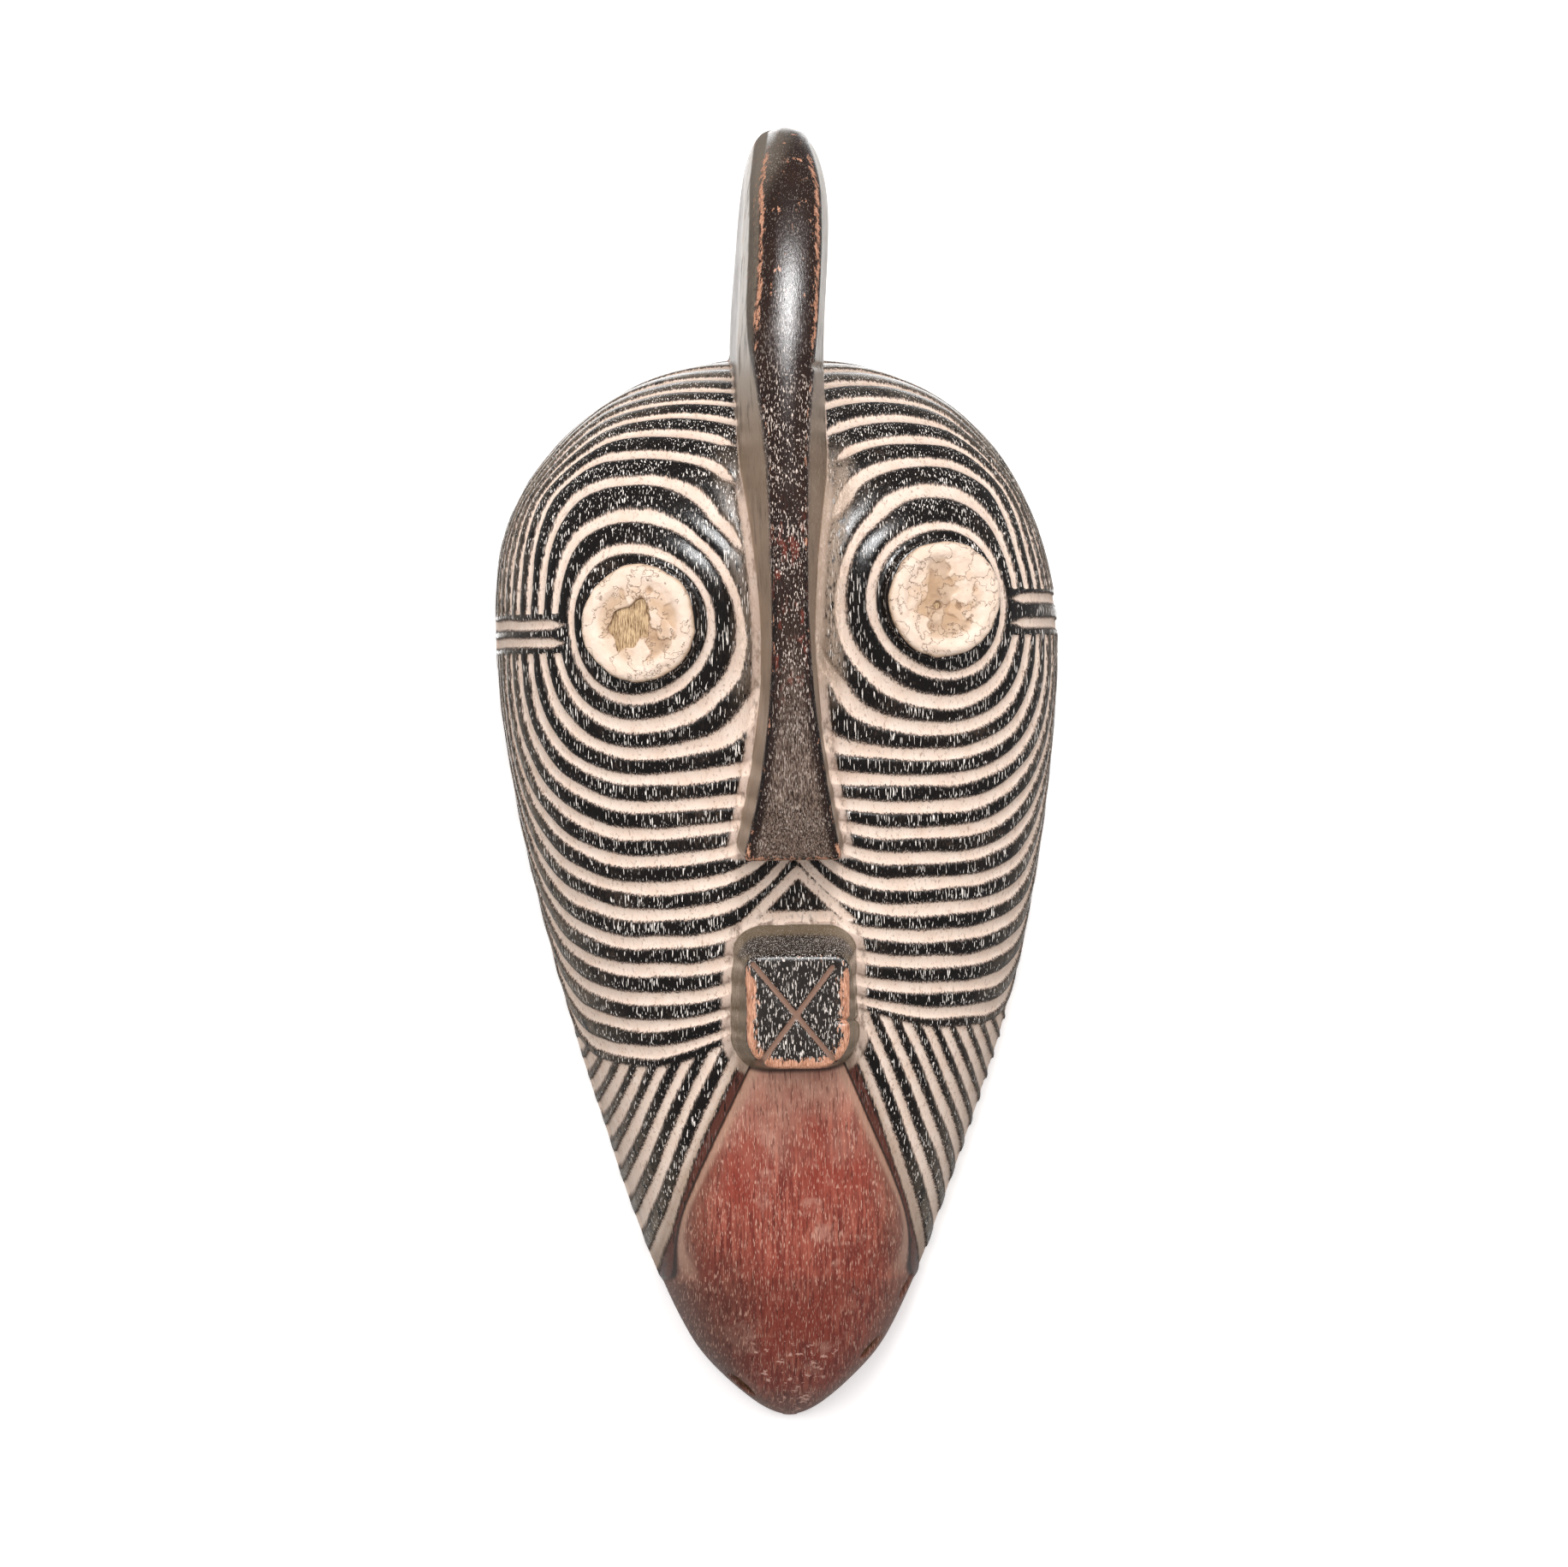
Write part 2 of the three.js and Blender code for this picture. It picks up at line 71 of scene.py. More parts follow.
# Crest and nose
NOSE_FOOT, NOSE_TIP_DEPTH, RIDGE_DEPTH = 194.0, 110.0, 117.0
CREST_TOP, CREST_SUMMIT_DEPTH, CREST_BACK, CREST_BACK_ROUND_FROM = 450.0, 45.0, 6.0, 410.0
CREST_BEND_FROM, CREST_BEND_POWER, CREST_HALF_THICKNESS = 280.0, 2.4, 15.0
RIDGE_HALF_WIDTH, RIDGE_WEDGE = 6.2, 34.0
CREST_LEAN, CREST_LEAN_FROM, CREST_LEAN_TO = 3.5, 365.0, 425.0
CREST_NICK_HEIGHT = 365.4

# Mouth block
MOUTH_X, MOUTH_FOOT, MOUTH_TOP, MOUTH_FRONT = 1.0, 122.0, 161.0, 98.0
MOUTH_HALF, MOUTH_DRAFT, MOUTH_TOP_SLOPE, MOUTH_ROOT = 17.8, 0.16, 0.565, 60.0
MOUTH_NICK_HEIGHT = 138.6
MOUTH_STROKES = (((-14.2, 158.5), (12.8, 125.5)), ((13.2, 157.0), (-12.5, 124.0)))

# Chin
CHIN_SHOULDER, CHIN_SHOULDER_HALF, CHIN_SHOULDER_DEPTH = 48.0, 44.0, 61.0
CHIN_CROWN, CHIN_CROWN_HALF, CHIN_CROWN_DEPTH = 140.0, 11.0, 78.0
CHIN_SQUARE_FROM, CHIN_UPPER_POWER = 75.0, 5.0
CHIN_TIP_POWER, CHIN_SIDE_POWER, CHIN_DEPTH_POWER = 0.57, 0.47, 0.5

# Hollow behind the face
HOLLOW_TOP, HOLLOW_FOOT, HOLLOW_KNEE = 356.0, 5.0, 60.0
HOLLOW_HALF_WIDTH, HOLLOW_DEPTH = 86.2, 76.0
HOLLOW_KNEE_HALF, HOLLOW_KNEE_DEPTH = 36.0, 44.0
HOLLOW_TAPER, HOLLOW_TAPER_POWER = 0.003263, 1.8

# x, depth and height where each comes out, and how many degrees it turns to the front
TIE_HOLES = ((-18.2, 17.0, 11.5, 25.0), (30.0, 25.0, 24.0, 0.0), (40.0, 28.0, 45.0, 0.0))
TIE_HOLE_RADIUS = 4.0
SCREW_HEIGHTS = (375.2, 384.2)
SCREW_HOLE_RADIUS, SCREW_HOLE_DEPTH = 1.8, 21.0

# Carved bands
FIRST_RING = 26.5  # from an eye's centre, over the surface
RING_PITCH = {"left": 9.4, "right": 9.05}
CROWN_PITCH = 12.0
CROWN_CROWDING = {"left": 1.3, "right": 0.1}  # rings added towards the top of the crown
CROWN_COLUMN = 60.0
LAST_RING = 14
GOUGE_HALF_WIDTH, GOUGE_DEPTH = 2.45, 1.1
FAN_PITCH, FAN_CROWDING, FAN_HALF_WIDTH = 9.2, 38, 2.15  # closer together away from the chin
TEMPLE_BARS = {"left": (277.8, 271.5), "right": (283.8, 275.2)}  # heights of the two bars
GABLE_PEAK, GABLE_SLOPE, GABLE_FOOT = 187.5, 0.97, 177.0


# Numbers -----------------------------------------------------

def superellipse(t, power):
    return np.maximum(0.0, 1 - np.abs(t) ** power) ** (1 / power)


def smoothstep(value, low, high):
    t = np.clip((value - low) / (high - low), 0, 1)
    return t * t * (3 - 2 * t)


def mix(a, b, share):
    return a + (b - a) * share


def soft_min(a, b, reach):
    overlap = np.maximum(reach - np.abs(a - b), 0) / reach
    return np.minimum(a, b) - overlap * overlap * reach / 4


def soft_max(a, b, reach):
    return -soft_min(-a, -b, reach)


LATTICE = np.random.default_rng(11).random((32, 32, 32), dtype=np.float32) * 2 - 1


def noise(x, y, z, size, seed=0):
    """Smooth noise from -1 to 1. `size` is a blob's size, or three sizes."""
    sizes3 = (size,) * 3 if np.isscalar(size) else size
    cells, shares = [], []
    for k, (values, s) in enumerate(zip((x, y, z), sizes3)):
        place = np.asarray(values) / s + 5.31 * seed + 9.7 * k
        cell = np.floor(place)
        share = place - cell
        cells.append(cell.astype(np.int32))
        shares.append(share * share * (3 - 2 * share))
    total = 0
    for i in (0, 1):
        for j in (0, 1):
            for k in (0, 1):
                corner = LATTICE[(cells[0] + i) & 31, (cells[1] + j) & 31, (cells[2] + k) & 31]
                weight = (
                    (shares[0] if i else 1 - shares[0])
                    * (shares[1] if j else 1 - shares[1])
                    * (shares[2] if k else 1 - shares[2])
                )
                total = total + corner * weight
    return total


class Profile:
    """A size that depends on height, looked up from its formula, with its slope."""

    HEIGHTS = np.linspace(-10, 460, 3761)

    def __init__(self, formula):
        self.values = formula(self.HEIGHTS)
        self.slopes = np.gradient(self.values, self.HEIGHTS)

    def __call__(self, z):
        return np.interp(z, self.HEIGHTS, self.values)

    def slope(self, z):
        return np.interp(z, self.HEIGHTS, self.slopes)


def blend_at(z, height, below, above):
    return np.where(z < height, below(np.minimum(z, height)), above(np.maximum(z, height)))


def tapered(widest_at, size, taper, power, top):
    """Narrows below `widest_at` and closes over the crown above it."""
    return Profile(
        lambda z: blend_at(
            z,
            widest_at,
            lambda h: size - taper * (widest_at - h) ** power,
            lambda h: size * superellipse((h - widest_at) / (top - widest_at), CROWN_POWER),
        )
    )


head_half = tapered(WIDEST_AT, HALF_WIDTH, WIDTH_TAPER, TAPER_POWER, HEAD_TOP)
head_depth = tapered(DEEPEST_AT, DEPTH, DEPTH_TAPER, TAPER_POWER, HEAD_TOP)


# The carving as a distance field -----------------------------

def bow_distance(x, front, z, half, depth, power=SECTION_POWER):
    """Distance to a body whose horizontal sections are half superellipses."""
    w, d = half(z), depth(z)
    a, b = np.abs(x) / w, np.maximum(front, 0) / d
    q = (a**power + b**power) ** (1 / power)
    steep = np.maximum(q, 0.02) ** (power - 1)
    across = a ** (power - 1) / (w * steep)
    ahead = b ** (power - 1) / (d * steep)
    up = (a**power * half.slope(z) / w + b**power * depth.slope(z) / d) / steep
    up = up / np.maximum(q, 1) ** 2
    return (q - 1) / np.sqrt(across**2 + ahead**2 + up**2 + 1e-6)


def eye_swell(x, z):
    return sum(
        EYE_SWELL * np.exp(-((x - ex) ** 2 + (z - ez) ** 2) / (2 * EYE_SWELL_SPREAD**2))
        for ex, ez, _ in EYES.values()
    )


def face_depth(x, z):
    return head_depth(z) * superellipse(x / head_half(z), SECTION_POWER) + eye_swell(x, z)


def eye_axes(side):
    """The face's point under an eye, and its right, up and outward directions."""
    ex, ez, degrees = EYES[side]
    turn = math.radians(degrees)
    centre = np.array([ex, -float(face_depth(np.array(ex), np.array(ez))), ez])
    right = np.array([math.cos(turn), math.sin(turn), 0])
    out = np.array([math.sin(turn), -math.cos(turn), 0])
    return centre, right, np.array([0.0, 0, 1]), out


def in_eye_axes(side, x, y, z):
    (cx, cy, cz), *axes = eye_axes(side)
    return tuple((x - cx) * axis[0] + (y - cy) * axis[1] + (z - cz) * axis[2] for axis in axes)


def head(x, y, z):
    inside_z = np.clip(z, HEAD_FOOT, HEAD_TOP - 0.4)
    swell = eye_swell(x, z) * smoothstep(-y, 0, 40) * smoothstep(HEAD_TOP - z, 0, 30)
    body = bow_distance(x, -y - swell, inside_z, head_half, head_depth)
    return soft_max(soft_max(body, HEAD_FOOT - z, 1.5), z - HEAD_TOP, 1.0)


def ridge_front_depth(z):
    settle = smoothstep(z, NOSE_FOOT - 6, NOSE_FOOT + 24)
    bend = superellipse((z - CREST_BEND_FROM) / (CREST_TOP - CREST_BEND_FROM), CREST_BEND_POWER)
    crest = CREST_SUMMIT_DEPTH + (RIDGE_DEPTH - CREST_SUMMIT_DEPTH) * bend
    return np.where(z < CREST_BEND_FROM, mix(NOSE_TIP_DEPTH, RIDGE_DEPTH, settle), crest)


def ridge_back_depth(z):
    above = np.maximum(z - CREST_BACK_ROUND_FROM, 0) / (CREST_TOP - CREST_BACK_ROUND_FROM)
    return CREST_BACK + (CREST_SUMMIT_DEPTH - CREST_BACK) * (1 - superellipse(above, 2))


def ridge_front_half_width(z):
    nostrils = 11 * np.maximum(0, (290 - z) / 96) ** 2.2
    brow = 4.8 * smoothstep(z, 330, 385)
    tip = 4 * smoothstep(z, 425, CREST_TOP)
    return RIDGE_HALF_WIDTH + nostrils + brow - tip


def ridge_root_half_width(z):
    rounding = np.maximum(0, (z - 390) / (CREST_TOP - 390))
    crest = CREST_HALF_THICKNESS * np.maximum(0, 1 - rounding**4) ** 0.385
    return mix(ridge_front_half_width(z) + 3, crest, smoothstep(z, 250, 345))


ridge_front = Profile(ridge_front_depth)
ridge_back = Profile(ridge_back_depth)
ridge_front_half = Profile(ridge_front_half_width)
ridge_root_half = Profile(ridge_root_half_width)


def rounded_corner(a, b, radius):
    """The distance past two faces at right angles, with a round edge between them."""
    out_a, out_b = a + radius, b + radius
    away = np.sqrt(np.maximum(out_a, 0) ** 2 + np.maximum(out_b, 0) ** 2)
    return away + np.minimum(np.maximum(out_a, out_b), 0) - radius


def ridge(x, y, z):
    """Distance to the crest and nose, and to their front arrises, plain and then signed.

    The signed one is below 0 on the front face and above 0 on the flanks.
    """
    inside_z = np.clip(z, NOSE_FOOT - 5, CREST_TOP - 0.3)
    behind = ridge_front(inside_z) + y
    root = ridge_root_half(inside_z)
    front_half = np.minimum(ridge_front_half(inside_z), root)
    half = mix(front_half, root, np.clip(behind / RIDGE_WEDGE, 0, 1))
    middle = CREST_LEAN * smoothstep(z, CREST_LEAN_FROM, CREST_LEAN_TO)
    middle = middle + 0.7 * noise(x, y, z, (60, 60, 34), 3)
    side = np.abs(x - middle) - half
    dome = 2.3 * np.minimum(np.abs(x - middle) / front_half, 1.2) ** 2 * smoothstep(z, 290, 360)
    ahead = (dome - behind) / np.sqrt(1 + ridge_front.slope(inside_z) ** 2)
    worn_round = 3.0 * smoothstep(z, 365, 395) * smoothstep(middle - x, 0, 6)
    radius = mix(1.6, 4.2, smoothstep(z, 330, 430)) + worn_round
    body = rounded_corner(side, ahead, radius)
    body = soft_max(body, NOSE_FOOT + 0.14 * behind - z, 3.0)
    free = (y + ridge_back(inside_z)) / np.sqrt(1 + ridge_back.slope(inside_z) ** 2)
    buried = y + head_depth(np.minimum(inside_z, 360)) - 9
    body = soft_max(body, np.where(z > HEAD_TOP - 12, free, buried), 1.5)
    body = soft_max(body, z - CREST_TOP, 1.0)
    nick = 1.3 * np.exp(-(((z - CREST_NICK_HEIGHT) / 0.9) ** 2))
    nick = nick * smoothstep(x, 5, 9) * smoothstep(-y, 70, 95)
    foot = np.where(z < 220, np.abs(z - NOSE_FOOT) + np.maximum(behind - 3, 0), 50)
    flank = side - ahead
    return body + nick, np.minimum(np.abs(flank), foot), flank


def mouth(x, y, z):
    """Distance to the mouth block, and how far a point is round its front arris."""
    back = MOUTH_FRONT + y
    spread = np.clip(back, 0, 40)
    half = MOUTH_HALF + MOUTH_DRAFT * spread
    top = np.minimum(MOUTH_TOP + MOUTH_TOP_SLOPE * spread, 176.0)
    middle, half_height = (top + MOUTH_FOOT) / 2, (top - MOUTH_FOOT) / 2
    low_corner, high_corner = 12.0, 5.0 + 0.25 * spread
    radius = mix(low_corner, high_corner, smoothstep(z, middle - 6, middle + 6))
    out_x = np.abs(x - MOUTH_X) - half + radius
    out_z = np.abs(z - middle) - half_height + radius
    away = np.sqrt(np.maximum(out_x, 0) ** 2 + np.maximum(out_z, 0) ** 2)
    around = away + np.minimum(np.maximum(out_x, out_z), 0) - radius
    around = around + 0.4 * noise(x, y, z, 9, 5)
    body = rounded_corner(around, -back, 1.4)
    body = soft_max(body, y + MOUTH_ROOT, 1.0)
    cross = mouth_cross(x, z)
    groove = 1.1 * np.sqrt(np.clip(1 - (cross / 1.35) ** 2, 0, 1)) * smoothstep(-y, 90, 95)
    nick = 1.4 * np.exp(-(((z - MOUTH_NICK_HEIGHT) / 0.8) ** 2)) * smoothstep(x, 12, 17)
    return body + groove + nick, around + back


def mouth_cross(x, z):
    """Distance to the nearer stroke of the X cut in the mouth block's front."""
    strokes = []
    for start, end in MOUTH_STROKES:
        run, rise = end[0] - start[0], end[1] - start[1]
        length = math.hypot(run, rise)
        along = np.clip(((x - start[0]) * run + (z - start[1]) * rise) / length**2, 0, 1)
        strokes.append(np.hypot(x - start[0] - along * run, z - start[1] - along * rise))
    return np.minimum(*strokes)


def chin_share(z):
    return np.clip((z - CHIN_SHOULDER) / (CHIN_CROWN - CHIN_SHOULDER), 0, 1)


def chin_profile(shoulder, crown, tip_power, side_power, high_power):
    def size(z):
        share = np.clip(z / CHIN_SHOULDER, 0.004, 1)
        low = shoulder * share ** mix(tip_power, side_power, smoothstep(share, 0.1, 0.6))
        return np.where(z < CHIN_SHOULDER, low, mix(shoulder, crown, chin_share(z) ** high_power))

    return Profile(size)


chin_half = chin_profile(CHIN_SHOULDER_HALF, CHIN_CROWN_HALF, CHIN_TIP_POWER, CHIN_SIDE_POWER, 1.6)
chin_depth = chin_profile(
    CHIN_SHOULDER_DEPTH, CHIN_CROWN_DEPTH, CHIN_DEPTH_POWER, CHIN_DEPTH_POWER, 0.75
)
# Where the chin meets the cheeks
chin_edge = chin_profile(CHIN_SHOULDER_HALF, CHIN_CROWN_HALF, 0.5, 0.5, 1.35)


def chin(x, y, z):
    inside_z = np.clip(z, 0.3, CHIN_CROWN)
    power = mix(SECTION_POWER, CHIN_UPPER_POWER, smoothstep(z, CHIN_SHOULDER, CHIN_SQUARE_FROM))
    body = bow_distance(x, -y, inside_z, chin_half, chin_depth, power)
    return np.maximum(np.maximum(body, -z), z - CHIN_CROWN)


def hollow_size(knee, size, widest_at, low_power, upper):
    def low(z):
        share = np.clip(z - HOLLOW_FOOT, 0.1, None) / (HOLLOW_KNEE - HOLLOW_FOOT)
        return knee * share**low_power

    def crown(z):
        return size * superellipse((z - widest_at) / (HOLLOW_TOP - widest_at), CROWN_POWER)

    return Profile(
        lambda z: np.where(
            z < HOLLOW_KNEE, low(z), blend_at(np.maximum(z, HOLLOW_KNEE), widest_at, upper, crown)
        )
    )


def hollow_taper(z):
    return HOLLOW_HALF_WIDTH - HOLLOW_TAPER * (WIDEST_AT - z) ** HOLLOW_TAPER_POWER


def hollow_deepening(z):
    share = (z - HOLLOW_KNEE) / (DEEPEST_AT - HOLLOW_KNEE)
    return mix(HOLLOW_KNEE_DEPTH, HOLLOW_DEPTH, share**0.8)


hollow_half = hollow_size(HOLLOW_KNEE_HALF, HOLLOW_HALF_WIDTH, WIDEST_AT, 0.45, hollow_taper)
hollow_depth = hollow_size(HOLLOW_KNEE_DEPTH, HOLLOW_DEPTH, DEEPEST_AT, 0.4, hollow_deepening)


def hollow(x, y, z):
    """Distance to the hollow, roughened by the scoops of a gouge."""
    inside_z = np.clip(z, HOLLOW_FOOT + 0.2, HOLLOW_TOP - 0.4)
    body = bow_distance(x, -y, inside_z, hollow_half, hollow_depth)
    body = np.maximum(np.maximum(body, HOLLOW_FOOT - z), z - HOLLOW_TOP)
    scoops = np.abs(noise(x, y, z, (11, 11, 26), 8)) + 0.5 * np.abs(noise(x, y, z, (7, 7, 17), 9))
    return body + (1.5 * scoops - 0.7) * smoothstep(-y, 0, 12)


# The carved bands --------------------------------------------

ANGLES = np.linspace(0, math.pi / 2, 241)
REACH = (np.sin(ANGLES) ** SECTION_POWER + np.cos(ANGLES) ** SECTION_POWER) ** (-1 / SECTION_POWER)
STEP_ACROSS = np.diff(np.sin(ANGLES) * REACH)
STEP_BACK = np.diff(np.cos(ANGLES) * REACH) * DEPTH / HALF_WIDTH
ARC = np.concatenate([[0], np.cumsum(np.hypot(STEP_ACROSS, STEP_BACK))])


def round_the_face(x, y, z):
    """The distance over the surface, in a level plane, from the face's midline."""
    half = head_half(z)
    angle = np.arctan2(np.abs(x) / half, np.maximum(-y, 0) / head_depth(z) + 1e-6)
    return half * np.interp(angle, ANGLES, ARC)


def up_the_face(side, x, y, z):
    """About how far a point lies above or below an eye, over the bulge of the forehead."""
    _, ez, _ = EYES[side]
    column = np.minimum(np.abs(x), CROWN_COLUMN)
    here = face_depth(column, np.clip(z, HEAD_FOOT, HEAD_TOP - 1))
    here = mix(-y, here, smoothstep(np.abs(x), 50, 68) * smoothstep(-z, -345, -305))
    drop = np.maximum(face_depth(column, ez) - here, 0)
    return np.where(z > ez, np.hypot(z - ez, drop), z - ez)


def beside_the_eye(side, x, y, z):
    """How far a point lies outwards of an eye, over the surface and then straight at the crown."""
    ex, _, _ = EYES[side]
    inside_z = np.clip(z, HEAD_FOOT, HEAD_TOP - 1)
    half = head_half(inside_z)
    eye_x = np.minimum(abs(ex), half * 0.98)
    eye_depth = head_depth(inside_z) * superellipse(eye_x / half, SECTION_POWER)
    aside = round_the_face(x, y, inside_z) - round_the_face(eye_x, -eye_depth, inside_z)
    return mix(aside, np.abs(x) - abs(ex), smoothstep(z, 305, 345))


def ring_number(side, x, y, z):
    """Counts the rings round an eye, with whole numbers on a gouge's middle. And their pitch."""
    aside, up = beside_the_eye(side, x, y, z), up_the_face(side, x, y, z)
    flatter = 1.12 - 0.2 * smoothstep(-up, -15, 35) - 0.57 * smoothstep(-up, 25, 65)
    flatter = mix(1.0, flatter, smoothstep(np.hypot(aside, up), 26, 42))
    flatter = flatter + 1.2 * smoothstep(-up, 128, 150)
    outward = mix(1.13, mix(0.95, 1.08, smoothstep(-up, 20, 90)), smoothstep(-up, 0, 55))
    aside = aside * np.where(aside > 0, outward, flatter)
    away = np.maximum(np.hypot(aside, up), 1)
    inward = smoothstep(-aside / away, 0.3, 0.8) * smoothstep(up, -32, 4)
    wide = np.maximum(smoothstep(up / away, 0.2, 0.9), inward)
    pitch = mix(RING_PITCH[side], CROWN_PITCH, wide)
    number = 1 + (away - FIRST_RING) / pitch
    number = number + CROWN_CROWDING[side] * smoothstep(z, 340, 368)
    number = number - 0.2 * smoothstep(z, 312, 325) * smoothstep(-z, -345, -330)
    beside_rim = smoothstep(y, -60, -5) * np.exp(-(((z - 331) / 21) ** 2))
    number = number + 3.7 * beside_rim  # keeps the rings level with the rim, over the temple
    below_nose = smoothstep(-z, -216, -192)
    number = number + 2.1 * np.exp(-((np.abs(x) / 13) ** 1.3)) * below_nose
    waver = 0.09 * noise(x, y, z, 34, 1) + 0.05 * noise(x, y, z, 13, 2)
    return number + waver * smoothstep(number, 1.2, 3), pitch


def fan(x, y, z):
    """Signed distance to the gouges that fan down the lower cheeks, and half their width."""
    out = np.abs(x) - chin_edge(np.clip(z, CHIN_SHOULDER, CHIN_CROWN))
    out = out * np.where(x > 0, 1.05, 1.0)
    out = np.maximum(out, -2) + 0.5 * noise(x, y, z, (14, 14, 40), 4)
    number = 0.05 + out / FAN_PITCH + 0.9 * (out / FAN_CROWDING) ** 2
    pitch = 1 / (1 / FAN_PITCH + 1.8 * out / FAN_CROWDING**2)
    width = FAN_HALF_WIDTH + 0.25 * noise(x, y, z, 16, 6)
    return np.abs(number - np.floor(number) - 0.5) * pitch - width, width


def bands(x, y, z):
    """Signed distance to the edge of the nearest gouge, below 0 in it, and half its width."""
    edge = np.full(np.shape(x), 9.0)
    width = np.full(np.shape(x), GOUGE_HALF_WIDTH)
    for side, sign in (("left", -1), ("right", 1)):
        here = x * sign >= 0
        px, py, pz = x[here], y[here], z[here]
        number, pitch = ring_number(side, px, py, pz)
        nearest = np.clip(np.round(number), 1, LAST_RING)
        gouge = GOUGE_HALF_WIDTH + 0.35 * noise(px, py, pz, 12, 7) - 0.5 * (nearest < 1.5)
        ring_edge = np.abs(number - nearest) * pitch - gouge
        fan_edge, fan_width = fan(px, py, pz)
        in_fan = number > LAST_RING + 0.42
        fan_edge = np.maximum(fan_edge, (LAST_RING + 0.5 - number) * pitch)
        found = np.where(in_fan, fan_edge, ring_edge)
        found_width = np.where(in_fan, fan_width, gouge)
        bar_edge, in_bars = temple_bars(side, px, py, pz)
        found = np.where(in_bars, bar_edge, found)
        found_width = np.where(in_bars, 2.0, found_width)
        edge[here] = mouth_gable(px, pz, found)
        width[here] = found_width
    return edge, width


def mouth_gable(x, z, edge):
    """Puts a dark gable with a pale outline above the mouth, in place of the rings there."""
    tent = 0.7 * (GABLE_PEAK - z - GABLE_SLOPE * np.abs(x - MOUTH_X))
    gable = np.minimum(np.abs(tent + 2) - 2, np.where(tent > 0, z - GABLE_FOOT, 9))
    return np.where((z > GABLE_FOOT - 4) & (tent > -4), gable, edge)


def temple_bars(side, x, y, z):
    """Signed distance to the two gouges from an eye to the rim, and where they count."""
    high, low = TEMPLE_BARS[side]
    ex, _, _ = EYES[side]
    beyond = np.abs(x - ex) - 24.5
    outward = (x - ex) * math.copysign(1, ex) > 0
    rise = 0.7 * noise(x, y, z, 18, 10)
    width = 1.95 * np.clip(beyond / 5, 0, 1)
    edge = np.minimum(np.abs(z - high - rise), np.abs(z - low - rise)) - width
    zone = (np.abs(z - (high + low) / 2) < (high - low) / 2 + 3.6) & outward & (beyond > 0)
    return edge, zone


# The whole carving -------------------------------------------

def sway(z):
    """How far the head's middle wanders to the right, as its carver left it."""
    return 2.0 * np.exp(-(((z - 150) / 65) ** 2)) - 1.8 * np.exp(-(((z - 318) / 32) ** 2))


def eye_surroundings(x, y, z):
    """How far a point is from the nearer eye's axis, and from the bosses under the clay."""
    eye_away = np.full(np.shape(x), 99.0)
    boss = np.full(np.shape(x), 99.0)
    for side in EYES:
        across, up, out = in_eye_axes(side, x, y, z)
        around = np.hypot(across, up)
        ends = np.maximum(out - EYE_BOSS_PROUD, -EYE_BOSS_DEPTH - out)
        eye_away = np.minimum(eye_away, around)
        boss = np.minimum(boss, rounded_corner(around - EYE_RADIUS, ends, 0.8))
    return eye_away, boss


def bored(solid, x, y, z):
    """The wood without its tie holes and the holes of the hanger's screws."""
    for out_x, depth, height, degrees in TIE_HOLES:
        turn = math.copysign(math.radians(degrees), out_x)
        aside = (y + depth) * math.cos(turn) + (x - out_x) * math.sin(turn)
        bore = np.hypot(aside, z - height) - TIE_HOLE_RADIUS - 0.3 * noise(x, y, z, 3, 15)
        solid = np.where(x * out_x > 100, soft_max(solid, -bore, 0.8), solid)
    for height in SCREW_HEIGHTS:
        bore = np.maximum(np.hypot(x, z - height) - SCREW_HOLE_RADIUS, -SCREW_HOLE_DEPTH - y)
        solid = np.where((z > HEAD_TOP) & (y > -24), np.maximum(solid, -bore), solid)
    return solid


